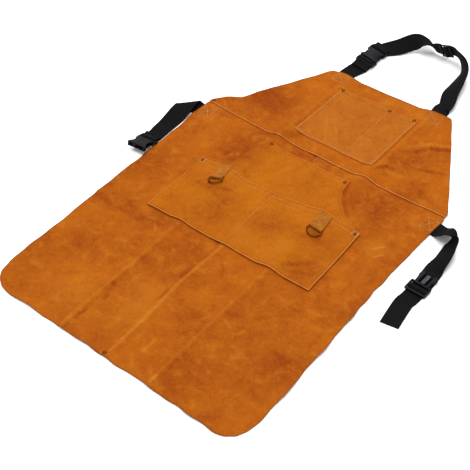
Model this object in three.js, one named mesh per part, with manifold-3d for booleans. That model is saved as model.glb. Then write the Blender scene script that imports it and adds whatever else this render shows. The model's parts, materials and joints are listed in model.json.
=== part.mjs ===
// A leather welding apron, lying on a level surface with its front up.
// Millimetres, +Z up. x is measured from the centre line, y from the hem towards the bib, z from the surface.
// The finished group is moved so that the origin is on the centre line at the waist seam.
import * as THREE from 'three';
import { mergeVertices } from 'three/addons/utils/BufferGeometryUtils.js';
import Module from 'manifold-3d';

const wasm = await Module();
wasm.setup();

// Driving dimensions
const WAIST_Y = 678;
const SKIRT_TOP = 697;
const LEATHER = 1.4;
const GAP = 0.4;
const LAYER = LEATHER + GAP;
const SEAM_LAP = 7;
const WEB = { width: 38, thick: 1.6 };
const STRAP_LIFT = 2.4;
const FRONT_POCKET = { left: -195, right: 202, bottom: 352, top: 532, bulge: 9.5 };
const CHEST_POCKET = { left: -95, right: 103, bottom: 714, top: 895, bulge: 2.5 };
const RING = { half: 16, corner: 2.5, depth: 21, wire: 1.7 };
const TAB = { width: 27, flat: 44, bore: 2.4, outer: 3.8 };

const suede = { color: 0xc06a1e, roughness: 0.95, metalness: 0 };
const pocketSuede = { color: 0xc9781f, roughness: 0.95, metalness: 0 };
const tan = { color: 0xa8743a, roughness: 0.9, metalness: 0 };
const pale = { color: 0xe0cdb4, roughness: 0.9, metalness: 0 };
const bronze = { color: 0x5a4630, roughness: 0.4, metalness: 0.9 };
const webbing = { color: 0x17171a, roughness: 0.85, metalness: 0 };
const plastic = { color: 0x1c1c20, roughness: 0.45, metalness: 0 };

// Grid lines that every leather layer shares, so that one layer lies parallel on the next
const COLUMNS = [
  -328, -300, -268, -235, -200, -170, -144, -126, -108, -90, -72, -34, -12,
  10, 32, 76, 94, 112, 130, 148, 175, 205, 238, 268, 300, 328,
];
const ROWS = [
  -12, 20, 65, 110, 150, 198, 232, 266, 304, 345, 375, 415, 460, 500, 530, 560,
  600, 622, 648, 676, 702, 730, 765, 805, 845, 880, 902, 925, 956,
];

// Raised folds: each runs from one point to another, with its height at both and its half width
const FOLDS = [
  { name: 'packing fold, left, bib', x0: -108, y0: 960, h0: 3, x1: -108, y1: 690, h1: 8, half: 36 },
  { name: 'packing fold, left, pocket', x0: -108, y0: 690, h0: 8, x1: -108, y1: 360, h1: 5, half: 36 },
  { name: 'packing fold, left, skirt', x0: -108, y0: 360, h0: 5, x1: -108, y1: -12, h1: 2.5, half: 36 },
  { name: 'packing fold, right, bib', x0: 112, y0: 960, h0: 3, x1: 112, y1: 690, h1: 8, half: 36 },
  { name: 'packing fold, right, pocket', x0: 112, y0: 690, h0: 8, x1: 112, y1: 360, h1: 6.5, half: 36 },
  { name: 'packing fold, right, skirt', x0: 112, y0: 360, h0: 6.5, x1: 112, y1: -12, h1: 3, half: 36 },
  { name: 'right edge, above the crease', x0: 330, y0: 348, h0: 5, x1: 205, y1: 348, h1: 0, half: 44 },
  { name: 'right edge, between the creases', x0: 330, y0: 252, h0: 6, x1: 195, y1: 256, h1: 0, half: 50 },
  { name: 'right edge, below the creases', x0: 330, y0: 140, h0: 5, x1: 220, y1: 140, h1: 0, half: 56 },
  { name: 'curl of the bib, left edge', x0: -280, y0: 722, h0: 4, x1: -160, y1: 925, h1: 5, half: 34 },
  { name: 'wrinkle of the bib, right', x0: 135, y0: 885, h0: 1, x1: 232, y1: 735, h1: 3.5, half: 34 },
  { name: 'left edge, middle', x0: -330, y0: 420, h0: 5, x1: -250, y1: 420, h1: 0, half: 60 },
  { name: 'hem wave, left', x0: -205, y0: -12, h0: 4.5, x1: -200, y1: 70, h1: 0, half: 45 },
  { name: 'hem wave, middle', x0: -50, y0: -12, h0: 3.5, x1: -50, y1: 60, h1: 0, half: 38 },
  { name: 'hem wave, right', x0: 215, y0: -12, h0: 3, x1: 210, y1: 70, h1: 0, half: 45 },
];

const clamp = (value, low, high) => Math.min(high, Math.max(low, value));
const ramp = (value, from, to) => clamp((value - from) / (to - from), 0, 1);
const smooth = (t) => t * t * (3 - 2 * t);

// A column of a table as a smooth curve through its rows, with no overshoot between them
function easeTable(table, key, at, column) {
  const last = table.length - 1;
  const after = table.findIndex((row) => row[key] > at);
  if (after === 0 || after === -1) {
    return table[after === 0 ? 0 : last][column];
  }
  const k = after - 1;
  const secant = (i) => (table[i + 1][column] - table[i][column]) / (table[i + 1][key] - table[i][key]);
  const slope = (i) => {
    const product = i > 0 && i < last ? secant(i - 1) * secant(i) : 0;
    return product > 0 ? (2 * product) / (secant(i - 1) + secant(i)) : 0;
  };
  const span = table[after][key] - table[k][key];
  const t = (at - table[k][key]) / span;
  const rise = table[after][column] - table[k][column];
  const bend = slope(k) * span * t * (1 - t) * (1 - t) - slope(after) * span * t * t * (1 - t);
  return table[k][column] + rise * smooth(t) + bend;
}

// Height of the surface that the lowest leather follows
function ground(x, y) {
  let height = 0;
  for (const fold of FOLDS) {
    const dx = fold.x1 - fold.x0;
    const dy = fold.y1 - fold.y0;
    const t = clamp(((x - fold.x0) * dx + (y - fold.y0) * dy) / (dx * dx + dy * dy), 0, 1);
    const away = Math.hypot(x - fold.x0 - t * dx, y - fold.y0 - t * dy);
    const crest = fold.h0 + t * (fold.h1 - fold.h0);
    const profile = away < fold.half ? 0.5 + 0.5 * Math.cos((Math.PI * away) / fold.half) : 0;
    height = Math.max(height, crest * profile);
  }
  return height;
}

// Room under the leather for the sewn ends of the four straps
function sewnLift(x, y) {
  const neckLeft = ramp(x, -170, -144) * ramp(x, -72, -90);
  const neckRight = ramp(x, 76, 94) * ramp(x, 175, 148);
  const neck = Math.max(neckLeft, neckRight) * ramp(y, 880, 902);
  const waist = ramp(Math.abs(x), 235, 268) * ramp(y, 600, 622) * ramp(y, 702, 676);
  return STRAP_LIFT * Math.max(neck, waist);
}

// Undersides of the layers
const lap = (x) => LAYER * ramp(x, -34, -12) * ramp(x, 32, 10);
const base = (x, y) => ground(x, y) + sewnLift(x, y);
const rightHalf = (x, y) => base(x, y) + LAYER * ramp(x, 32, 10);
const bibUnder = (x, y) => base(x, y) + (LAYER + lap(x)) * ramp(y, 730, 702);
const backUnder = (x, y) => base(x, y) + lap(x) + LAYER;

function frontUnder(x, y) {
  const { left, right, bottom, top, bulge } = FRONT_POCKET;
  const lobe = x < 0 ? ramp(x, left, 0) : ramp(x, right, 0);
  const across = Math.sin(Math.PI * lobe);
  const upward = smooth(ramp(y, bottom, top - 20));
  return backUnder(x, y) + LAYER + bulge * across * upward;
}

function chestUnder(x, y) {
  const { left, right, bottom, top, bulge } = CHEST_POCKET;
  const across = Math.sin(Math.PI * ramp(x, left, right));
  return bibUnder(x, y) + LAYER + bulge * across * ramp(y, bottom, top);
}

function toSolid(geometry) {
  const bare = geometry.clone();
  bare.deleteAttribute('normal');
  bare.deleteAttribute('uv');
  const merged = mergeVertices(bare, 1e-4);
  const vertProperties = new Float32Array(merged.attributes.position.array);
  const triVerts = new Uint32Array(merged.index.array);
  return new wasm.Manifold(new wasm.Mesh({ numProp: 3, vertProperties, triVerts }));
}

function toGeometry(solid) {
  const mesh = solid.getMesh();
  const geometry = new THREE.BufferGeometry();
  geometry.setAttribute('position', new THREE.BufferAttribute(mesh.vertProperties, 3));
  geometry.setIndex(new THREE.BufferAttribute(mesh.triVerts, 1));
  geometry.computeVertexNormals();
  return geometry;
}

const apron = new THREE.Group();

function addMesh(parent, name, geometry, finish) {
  const mesh = new THREE.Mesh(geometry, new THREE.MeshStandardMaterial(finish));
  mesh.name = name;
  parent.add(mesh);
  return mesh;
}

// The underside's facets are split along the same diagonal as the top's, so that stacked layers stay parallel
function alignDiagonals(slab) {
  const corners = slab.index.array;
  const { start, count } = slab.groups[5];
  for (let i = start; i < start + count; i += 6) {
    const [a, b, d, , c] = corners.slice(i, i + 6);
    corners.set([a, b, c, a, c, d], i);
  }
}

// A leather panel: the shared grid bent over what lies under it, then cut to its outline
function panel(name, outline, under, finish) {
  const slab = new THREE.BoxGeometry(1, 1, 1, COLUMNS.length - 1, ROWS.length - 1, 1);
  alignDiagonals(slab);
  const spots = slab.attributes.position;
  for (let i = 0; i < spots.count; i += 1) {
    const x = COLUMNS[Math.round((spots.getX(i) + 0.5) * (COLUMNS.length - 1))];
    const y = ROWS[Math.round((spots.getY(i) + 0.5) * (ROWS.length - 1))];
    spots.setXYZ(i, x, y, under(x, y) + (spots.getZ(i) > 0 ? LEATHER : 0));
  }
  const cutter = new THREE.ExtrudeGeometry(outline, { depth: 90, bevelEnabled: false, curveSegments: 6 });
  cutter.translate(0, 0, -20);
  return addMesh(apron, name, toGeometry(toSolid(slab).intersect(toSolid(cutter))), finish);
}

function skirtLeft() {
  const outline = new THREE.Shape();
  outline.moveTo(SEAM_LAP, 4);
  outline.lineTo(-120, 6);
  outline.lineTo(-240, 8);
  outline.quadraticCurveTo(-300, 12, -304, 68);
  outline.lineTo(-304, 330);
  outline.lineTo(-302, 430);
  outline.lineTo(-306, 520);
  outline.lineTo(-305, 676);
  outline.lineTo(-292, SKIRT_TOP);
  outline.lineTo(SEAM_LAP, SKIRT_TOP);
  panel('skirt_left', outline, base, suede);
}

function skirtRight() {
  const outline = new THREE.Shape();
  outline.moveTo(-SEAM_LAP, 4);
  outline.lineTo(150, 0);
  outline.lineTo(268, -4);
  outline.quadraticCurveTo(316, -2, 319, 60);
  outline.lineTo(319, 130);
  outline.lineTo(313, 198);
  outline.lineTo(316, 250);
  outline.lineTo(308, 304);
  outline.lineTo(309, 348);
  outline.lineTo(304, 430);
  outline.lineTo(302, 560);
  outline.lineTo(305, 676);
  outline.lineTo(292, SKIRT_TOP);
  outline.lineTo(-SEAM_LAP, SKIRT_TOP);
  panel('skirt_right', outline, rightHalf, suede);
}

function bib() {
  const outline = new THREE.Shape();
  outline.moveTo(-303, WAIST_Y + 2);
  outline.lineTo(-150, WAIST_Y - 3);
  outline.lineTo(150, WAIST_Y - 2);
  outline.lineTo(303, WAIST_Y);
  outline.lineTo(305, 690);
  outline.lineTo(158, 940);
  outline.quadraticCurveTo(154, 947, 146, 947);
  outline.lineTo(100, 942);
  outline.lineTo(0, 937);
  outline.lineTo(-90, 934);
  outline.lineTo(-132, 937);
  outline.quadraticCurveTo(-150, 930, -158, 914);
  outline.lineTo(-198, 842);
  outline.lineTo(-224, 796);
  outline.lineTo(-256, 734);
  outline.quadraticCurveTo(-284, 713, -303, 691);
  panel('bib', outline, bibUnder, suede);
}

function chestPocket() {
  const { left, right, bottom, top } = CHEST_POCKET;
  const outline = new THREE.Shape();
  outline.moveTo(left, bottom);
  outline.lineTo(right, bottom);
  outline.lineTo(right - 2, top);
  outline.lineTo(left + 2, top - 3);
  panel('chest_pocket', outline, chestUnder, pocketSuede);
}

function pocketBack() {
  const outline = new THREE.Shape();
  outline.moveTo(-191, 357);
  outline.lineTo(202, 361);
  outline.lineTo(193, 528);
  outline.lineTo(190, 540);
  outline.bezierCurveTo(118, 566, 98, 600, 94, 649);
  outline.lineTo(-109, 649);
  outline.lineTo(-113, 606);
  outline.bezierCurveTo(-118, 566, -140, 548, -190, 534);
  panel('pocket_back', outline, backUnder, pocketSuede);
}

function pocketFront() {
  const outline = new THREE.Shape();
  outline.moveTo(-195, 351);
  outline.lineTo(206, 356);
  outline.lineTo(197, 540);
  outline.lineTo(130, 538);
  outline.lineTo(0, 530);
  outline.lineTo(-75, 519);
  outline.lineTo(-194, 526);
  panel('pocket_front', outline, frontUnder, pocketSuede);
}

// A level patch on a leather layer, leaning with it, and just clear of it over its whole footprint
function seat(under, x, y, halfX, halfY, backY = halfY) {
  const sx = (under(x + halfX, y) - under(x - halfX, y)) / (2 * halfX);
  const sy = (under(x, y + halfY) - under(x, y - backY)) / (halfY + backY);
  const plane = (px, py) => under(x, y) + sx * (px - x) + sy * (py - y);
  let proud = 0;
  for (let i = -4; i <= 4; i += 1) {
    for (let j = -4; j <= 4; j += 1) {
      const px = x + (i / 4) * halfX;
      const py = y + (j / 4) * (j > 0 ? halfY : backY);
      proud = Math.max(proud, under(px, py) - plane(px, py));
    }
  }
  const group = new THREE.Group();
  const normal = new THREE.Vector3(-sx, -sy, 1).normalize();
  group.quaternion.setFromUnitVectors(new THREE.Vector3(0, 0, 1), normal);
  group.position.set(x, y, under(x, y) + proud + LEATHER + GAP);
  apron.add(group);
  return group;
}

// The leather layers as their flat facets run, between the grid lines
function facets(under) {
  return (x, y) => {
    const i = clamp(COLUMNS.findIndex((c) => c > x) - 1, 0, COLUMNS.length - 2);
    const j = clamp(ROWS.findIndex((r) => r > y) - 1, 0, ROWS.length - 2);
    const tx = (x - COLUMNS[i]) / (COLUMNS[i + 1] - COLUMNS[i]);
    const ty = (y - ROWS[j]) / (ROWS[j + 1] - ROWS[j]);
    const here = under(COLUMNS[i], ROWS[j]);
    const across = under(COLUMNS[i + 1], ROWS[j]);
    const above = under(COLUMNS[i], ROWS[j + 1]);
    const far = under(COLUMNS[i + 1], ROWS[j + 1]);
    return tx > ty
      ? here + tx * (across - here) + ty * (far - across)
      : here + ty * (above - here) + tx * (far - above);
  };
}

// Capped rivets with a dished middle
const RIVETS = [
  { name: 'rivet_chest_left', x: -89, y: 885, on: chestUnder },
  { name: 'rivet_chest_middle', x: 32, y: 887, on: chestUnder },
  { name: 'rivet_chest_right', x: 94, y: 890, on: chestUnder },
  { name: 'rivet_pocket_left', x: -103, y: 644, on: backUnder },
  { name: 'rivet_pocket_right', x: 87, y: 643, on: backUnder },
  { name: 'rivet_mouth_left', x: -188.5, y: 519, on: frontUnder, patch: 'rivet_patch_left' },
  { name: 'rivet_mouth_right', x: 190, y: 529, on: frontUnder, patch: 'rivet_patch_right' },
  { name: 'rivet_hem', x: 2, y: 11, on: rightHalf },
  { name: 'rivet_waist_left', x: -297, y: 687, on: bibUnder },
];

function rivets() {
  const section = [[0, 0], [4.2, 0], [4.2, 0.6], [3.5, 1.6], [2.3, 1.7], [1.6, 1.1], [0, 1]];
  const profile = section.map(([r, z]) => new THREE.Vector2(r, z));
  const patchSize = { across: 11, along: 13, thick: 0.9 };
  for (const { name, x, y, on, patch } of RIVETS) {
    const half = patch ? patchSize.along / 2 : 4.2;
    const place = seat(facets(on), x, y, half, half);
    let lift = 0;
    if (patch) {
      const square = new THREE.BoxGeometry(patchSize.across, patchSize.along, patchSize.thick);
      square.translate(0, 0, patchSize.thick / 2);
      addMesh(place, patch, square, pale);
      lift = patchSize.thick + GAP;
    }
    const cap = new THREE.LatheGeometry(profile, 10);
    cap.rotateX(Math.PI / 2);
    cap.translate(0, 0, lift);
    addMesh(place, name, cap, bronze);
  }
}

// Leather tabs folded round the straight bars of the D-rings
const TABS = [
  { side: 'left', x: -120, y: 484, turn: 0.2, pitch: 0.1 },
  { side: 'right', x: 126, y: 487, turn: 0.12, pitch: 0 },
];

function ringGeometry() {
  const { half, corner, depth, wire } = RING;
  const bar = half - corner;
  const points = [1, 0.7, 0, -0.7, -1].map((share) => new THREE.Vector3(share * bar, 0, 0));
  const bends = 9;
  for (let i = 0; i <= bends; i += 1) {
    const angle = Math.PI + (Math.PI * i) / bends;
    const drop = -corner + (depth - corner) * Math.sin(angle);
    points.push(new THREE.Vector3(half * Math.cos(angle), drop, 0));
  }
  const path = new THREE.CatmullRomCurve3(points, true, 'centripetal');
  return new THREE.TubeGeometry(path, 34, wire, 7, true);
}

function tabGeometry() {
  const { width, flat, bore, outer } = TAB;
  const thick = 2 * LEATHER;
  const section = new THREE.Shape();
  section.moveTo(flat, 0);
  section.lineTo(flat, thick);
  section.lineTo(outer * 2.4, thick);
  section.lineTo(0.35 * outer, 2 * outer * 0.97);
  section.absarc(0, outer, outer, 1.25, 1.5 * Math.PI, false);
  const hole = new THREE.Path();
  hole.absarc(0, outer, bore, 0, 2 * Math.PI, true);
  section.holes.push(hole);
  const tab = new THREE.ExtrudeGeometry(section, { depth: width, bevelEnabled: false, curveSegments: 5 });
  tab.translate(0, 0, -width / 2);
  tab.applyMatrix4(new THREE.Matrix4().makeBasis(
    new THREE.Vector3(0, 1, 0), new THREE.Vector3(0, 0, 1), new THREE.Vector3(1, 0, 0)));
  return tab;
}

function ringsAndTabs() {
  for (const { side, x, y, turn, pitch } of TABS) {
    const place = seat(facets(frontUnder), x, y, TAB.width / 2, TAB.flat, RING.depth);
    const turned = new THREE.Group();
    turned.rotation.z = turn;
    place.add(turned);
    addMesh(turned, `d_ring_tab_${side}`, tabGeometry(), tan);
    const ring = addMesh(turned, `d_ring_${side}`, toGeometry(toSolid(ringGeometry())), bronze);
    ring.position.z = TAB.outer;
    ring.rotation.x = -pitch;
  }
}

// A strip of webbing: at(i, t) gives the middle surface at station i, t across from the left edge
function strip(stations, across, at) {
  const box = new THREE.BoxGeometry(1, 1, 1, stations.length - 1, across, 1);
  const spots = box.attributes.position;
  const step = 0.05;
  for (let k = 0; k < spots.count; k += 1) {
    const s = stations[Math.round((spots.getX(k) + 0.5) * (stations.length - 1))];
    const t = -spots.getY(k) * WEB.width;
    const along = at(s + step, t).sub(at(s - step, t));
    const over = at(s, t + step).sub(at(s, t - step));
    const normal = over.cross(along).normalize();
    const spot = at(s, t).addScaledVector(normal, spots.getZ(k) * WEB.thick);
    spots.setXYZ(k, spot.x, spot.y, spot.z);
  }
  return box;
}

// A strap along a route of rows, each with its place and the roll that lifts its right edge
function routed(rows, wovenAt) {
  const points = rows.map((row) => new THREE.Vector3(row.x, row.y, row.z));
  const rolls = rows.map((row) => new THREE.Vector3(row.roll, 0, 0));
  const route = new THREE.CatmullRomCurve3(points, false, 'catmullrom', 0.5);
  const rollCurve = new THREE.CatmullRomCurve3(rolls, false, 'catmullrom', 0.5);
  route.arcLengthDivisions = 600;
  const length = route.getLength();
  const frame = (s) => {
    const t = route.getUtoTmapping(clamp(s / length, 0, 1));
    const middle = route.getPoint(t);
    const tangent = route.getTangent(t);
    const roll = THREE.MathUtils.degToRad(rollCurve.getPoint(t).x);
    const level = new THREE.Vector3().crossVectors(tangent, new THREE.Vector3(0, 0, 1)).normalize();
    const upward = new THREE.Vector3().crossVectors(level, tangent);
    const side = level.multiplyScalar(Math.cos(roll)).addScaledVector(upward, Math.sin(roll));
    const normal = new THREE.Vector3().crossVectors(side, tangent);
    return { middle, tangent, side, normal };
  };
  const at = (s, t) => {
    const { middle, tangent, side, normal } = frame(s);
    const past = s - clamp(s, 0, length);
    const bump = -weave(s, wovenAt);
    return middle.addScaledVector(side, t).addScaledVector(tangent, past).addScaledVector(normal, bump);
  };
  return { at, frame, length };
}

// How webbing climbs over a middle bar, by the distance from that bar
const WEAVE = [
  { away: 0, lift: 7.6 },
  { away: 2.4, lift: 7.6 },
  { away: 9.6, lift: 0 },
  { away: 1000, lift: 0 },
];

const climb = (away) => easeTable(WEAVE, 'away', away, 'lift');
const weave = (s, middle) => (middle === undefined ? 0 : climb(Math.abs(s - middle)));
const weaveStations = (middle) => [-9.6, -6, -2.4, 2.4, 6, 9.6].map((away) => middle + away);

function stationsAlong(length, pitch, extra = []) {
  const count = Math.round(length / pitch);
  const even = Array.from({ length: count + 1 }, (_, i) => (i * length) / count);
  const kept = even.filter((s) => extra.every((e) => Math.abs(e - s) > pitch * 0.4));
  return [...kept, ...extra].sort((a, b) => a - b);
}

const NECK_LEFT = [
  { x: -120, y: 906, z: 1.2, roll: 0 },
  { x: -119, y: 942, z: 1.2, roll: 0 },
  { x: -114, y: 960, z: 4, roll: -5 },
  { x: -108, y: 978, z: 5, roll: -10 },
];
const NECK_RIGHT = [
  { x: -105, y: 1058, z: 5, roll: -10 },
  { x: -75, y: 1084, z: 12, roll: -30 },
  { x: -50, y: 1110, z: 22, roll: -40 },
  { x: -32, y: 1120, z: 22, roll: -5 },
  { x: -5, y: 1120, z: 21, roll: 55 },
  { x: 12, y: 1122, z: 23, roll: 70 },
  { x: 42, y: 1125, z: 29, roll: 65 },
  { x: 60, y: 1121, z: 26, roll: 70 },
  { x: 85, y: 1102, z: 21, roll: 100 },
  { x: 97, y: 1078, z: 17, roll: 130 },
  { x: 104, y: 1042, z: 14, roll: 150 },
  { x: 109, y: 1010, z: 12, roll: 165 },
  { x: 120, y: 978, z: 8, roll: 160 },
  { x: 118, y: 962, z: 3, roll: 180 },
  { x: 119, y: 942, z: 1, roll: 180 },
  { x: 120, y: 906, z: 1, roll: 180 },
];
const SLIDER_AT = 158;

// A strap sewn under the skirt, laid outwards, folded over itself once and laid along the side.
// The lay rows give the shift across, the lift, and the lean that raises one edge.
function folded({ start, heading, before, turn, radius, fall, lay }) {
  const angle = THREE.MathUtils.degToRad(heading);
  const out = new THREE.Vector2(Math.cos(angle), Math.sin(angle));
  const left = new THREE.Vector2(-out.y, out.x);
  const half = THREE.MathUtils.degToRad(Math.abs(turn) / 2);
  const hand = Math.sign(turn);
  const crease = out.clone().multiplyScalar(Math.cos(half)).addScaledVector(left, -hand * Math.sin(half));
  const across = out.clone().multiplyScalar(Math.sin(half)).addScaledVector(left, hand * Math.cos(half));
  const shiftAt = (s) => easeTable(lay, 'along', s, 'shift');
  return (s, t) => {
    const slope = shiftAt(s + 0.5) - shiftAt(s - 0.5);
    const flat = out.clone().multiplyScalar(s - t * slope - before).addScaledVector(left, -t);
    const u = flat.dot(across);
    const arc = clamp(u / radius, 0, Math.PI);
    const back = Math.max(0, u - Math.PI * radius);
    const reach = Math.min(u, 0) + radius * Math.sin(arc) - back;
    const height = radius * (1 - Math.cos(arc)) * (1 - smooth(clamp(back / fall, 0, 1)));
    const spot = out.clone().multiplyScalar(before).addScaledVector(across, reach);
    spot.addScaledVector(crease, flat.dot(crease));
    const lean = easeTable(lay, 'along', s, 'lean');
    const edge = lean > 0 ? 0.5 + t / WEB.width : 0.5 - t / WEB.width;
    return new THREE.Vector3(
      start.x + spot.x + shiftAt(s),
      start.y + spot.y,
      height + easeTable(lay, 'along', s, 'lift') + Math.abs(lean) * edge);
  };
}

const WAIST_RIGHT = [
  { x: 270, y: 645, z: 1, roll: 0 },
  { x: 303, y: 643, z: 1, roll: 0 },
  { x: 318, y: 640, z: 3, roll: 0 },
  { x: 334, y: 634, z: 17, roll: 0 },
  { x: 347, y: 628, z: 20, roll: 35 },
  { x: 355, y: 622, z: 16, roll: 125 },
  { x: 360, y: 598, z: 12, roll: 145 },
  { x: 364, y: 572, z: 11, roll: 155 },
  { x: 363, y: 551, z: 5, roll: 170 },
  { x: 364, y: 536, z: 2, roll: 180 },
  { x: 366, y: 505, z: 1, roll: 180 },
  { x: 365, y: 460, z: 1, roll: 180 },
  { x: 363, y: 440, z: 1, roll: 180 },
  { x: 368, y: 404, z: 1, roll: 180 },
  { x: 372, y: 379, z: 1, roll: 180 },
];
const MALE_AT = 237;
const WAIST_LEFT = {
  start: { x: -270, y: 649 }, heading: 180, before: 53, turn: -90, radius: 6.5, fall: 48, length: 211,
  lay: [
    { along: 0, shift: 0, lift: 1, lean: 0 },
    { along: 40, shift: 0, lift: 1, lean: 0 },
    { along: 80, shift: 7, lift: 1, lean: -1 },
    { along: 120, shift: 10, lift: 1, lean: -3 },
    { along: 170, shift: 11, lift: 1, lean: -3 },
    { along: 193, shift: 12, lift: 1.1, lean: 0 },
    { along: 211, shift: 12, lift: 1.1, lean: 0 },
  ],
};

const LOOP_REACH = 20;

// The doubled end of a strap, looped round a buckle bar that lies along x at the origin
function barLoop(reach) {
  const inner = 3.7;
  const outer = inner + WEB.thick;
  const section = new THREE.Shape();
  section.moveTo(reach, -outer);
  section.lineTo(reach, -inner);
  section.lineTo(0, -inner);
  section.absarc(0, 0, inner, -Math.PI / 2, -1.5 * Math.PI, true);
  section.lineTo(reach * 0.5, -inner + WEB.thick + GAP);
  section.lineTo(reach, -inner + WEB.thick + GAP);
  section.lineTo(reach, -inner + 2 * WEB.thick + GAP);
  section.lineTo(reach * 0.5 + 1, -inner + 2 * WEB.thick + GAP);
  section.lineTo(1, outer);
  section.lineTo(0, outer);
  section.absarc(0, 0, outer, Math.PI / 2, 1.5 * Math.PI, false);
  const loop = new THREE.ExtrudeGeometry(section, { depth: WEB.width, bevelEnabled: false, curveSegments: 8 });
  loop.translate(0, 0, -WEB.width / 2);
  loop.applyMatrix4(new THREE.Matrix4().makeBasis(
    new THREE.Vector3(0, 1, 0), new THREE.Vector3(0, 0, 1), new THREE.Vector3(1, 0, 0)));
  return loop;
}

// Side release buckles, along y, with the shoulder where the two halves meet at y = 0
const BUCKLE = {
  half: 23, body: 36, bodyThick: 11, frameThick: 4, barFrom: 44, end: 48.5, slot: 19.6, clear: 0.3,
  socketHalf: 16.6, socketDeep: 33, socketThick: 6.4, windowIn: 12, windowFrom: 12, windowTo: 31,
  bar: 4, shoulder: 5, shoulderThick: 6, slotWide: 7, prongThick: 4.4, tongueHalf: 4.6, tongueLong: 26,
};
const BUCKLE_BAR = (BUCKLE.barFrom + BUCKLE.end) / 2;
const CUT = 40;

function plate(outline, thick) {
  const geometry = new THREE.ExtrudeGeometry(outline, { depth: thick, bevelEnabled: false, curveSegments: 6 });
  geometry.translate(0, 0, -thick / 2);
  return toSolid(geometry);
}

function block(x0, x1, y0, y1, thick) {
  const geometry = new THREE.BoxGeometry(x1 - x0, y1 - y0, thick);
  geometry.translate((x0 + x1) / 2, (y0 + y1) / 2, 0);
  return toSolid(geometry);
}

function buckleFemale() {
  const { half, body, bodyThick, frameThick, barFrom, end, slot, clear } = BUCKLE;
  const { socketHalf, socketDeep, socketThick, windowIn, windowFrom, windowTo } = BUCKLE;
  const shell = new THREE.Shape();
  shell.moveTo(-half + 1, clear);
  shell.quadraticCurveTo(0, 2.5, half - 1, clear);
  shell.quadraticCurveTo(half + 0.5, 7, half - 5, 11);
  shell.quadraticCurveTo(half - 8, 20, half - 5, 29);
  shell.lineTo(half - 1.5, body);
  shell.lineTo(-half + 1.5, body);
  shell.lineTo(-half + 5, 29);
  shell.quadraticCurveTo(-half + 8, 20, -half + 5, 11);
  shell.quadraticCurveTo(-half - 0.5, 7, -half + 1, clear);
  const frame = new THREE.Shape();
  frame.moveTo(-half, body - 6);
  frame.lineTo(half, body - 6);
  frame.lineTo(half, end - 2);
  frame.quadraticCurveTo(half, end, half - 2, end);
  frame.lineTo(2 - half, end);
  frame.quadraticCurveTo(-half, end, -half, end - 2);
  let solid = plate(shell, bodyThick).add(plate(frame, frameThick));
  solid = solid.subtract(block(-slot, slot, body + 0.5, barFrom, CUT));
  solid = solid.subtract(block(-socketHalf, socketHalf, -CUT, socketDeep, socketThick));
  solid = solid.subtract(block(-CUT, -windowIn, windowFrom, windowTo, socketThick));
  solid = solid.subtract(block(windowIn, CUT, windowFrom, windowTo, socketThick));
  return toGeometry(solid);
}

function armOutline(hand) {
  const arm = new THREE.Shape();
  arm.moveTo(hand * 9.6, -3);
  arm.lineTo(hand * 9.6, 27);
  arm.quadraticCurveTo(hand * 11, 32, hand * 14.5, 31);
  arm.lineTo(hand * 19.5, 25);
  arm.lineTo(hand * 19.5, 17);
  arm.lineTo(hand * 14.6, 12);
  arm.lineTo(hand * 14.6, -3);
  return arm;
}

function buckleMale(slots) {
  const { half, slot, frameThick, clear, bar, shoulder, shoulderThick, slotWide } = BUCKLE;
  const { prongThick, tongueHalf, tongueLong } = BUCKLE;
  const length = shoulder + slots * (slotWide + bar);
  const base = new THREE.Shape();
  base.moveTo(-half + 2, -clear);
  base.lineTo(half - 2, -clear);
  base.quadraticCurveTo(half, -1, half, -4);
  base.lineTo(half + 0.5, -length + 3);
  base.quadraticCurveTo(half, -length, half - 3, -length);
  base.lineTo(3 - half, -length);
  base.quadraticCurveTo(-half, -length, -half - 0.5, -length + 3);
  base.lineTo(-half, -4);
  base.quadraticCurveTo(-half, -1, 2 - half, -clear);
  let solid = plate(base, frameThick);
  solid = solid.add(block(-half + 1.5, half - 1.5, -shoulder + 0.5, -clear, shoulderThick));
  for (let i = 0; i < slots; i += 1) {
    const from = -shoulder - i * (slotWide + bar);
    solid = solid.subtract(block(-slot, slot, from - slotWide, from, CUT));
  }
  for (const hand of [-1, 1]) {
    solid = solid.add(plate(armOutline(hand), prongThick));
  }
  solid = solid.add(block(-tongueHalf, tongueHalf, 0.5 - shoulder, tongueLong, prongThick));
  return { geometry: toGeometry(solid), lastBar: -length + bar / 2, middleBar: -shoulder - slotWide - bar / 2 };
}

function sliderGeometry() {
  const size = { half: 22, halfLong: 13.5, thick: 3, bar: 2, edge: 3.3 };
  const outline = new THREE.Shape();
  outline.moveTo(-size.half, -size.halfLong);
  outline.lineTo(size.half, -size.halfLong);
  outline.lineTo(size.half, size.halfLong);
  outline.lineTo(-size.half, size.halfLong);
  let solid = plate(outline, size.thick);
  for (const hand of [-1, 1]) {
    const ends = [hand * size.bar, hand * (size.halfLong - size.edge)].sort((a, b) => a - b);
    solid = solid.subtract(block(-BUCKLE.slot, BUCKLE.slot, ends[0], ends[1], CUT));
  }
  return toGeometry(solid);
}

function placed(geometry, { x, y, z, turn = 0, roll = 0, pitch = 0 }) {
  const turned = new THREE.Matrix4().makeRotationFromEuler(new THREE.Euler(pitch, roll, turn, 'ZYX'));
  return geometry.clone().applyMatrix4(turned.setPosition(x, y, z));
}

function fuse(...geometries) {
  return toGeometry(geometries.map(toSolid).reduce((sum, solid) => sum.add(solid)));
}

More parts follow.
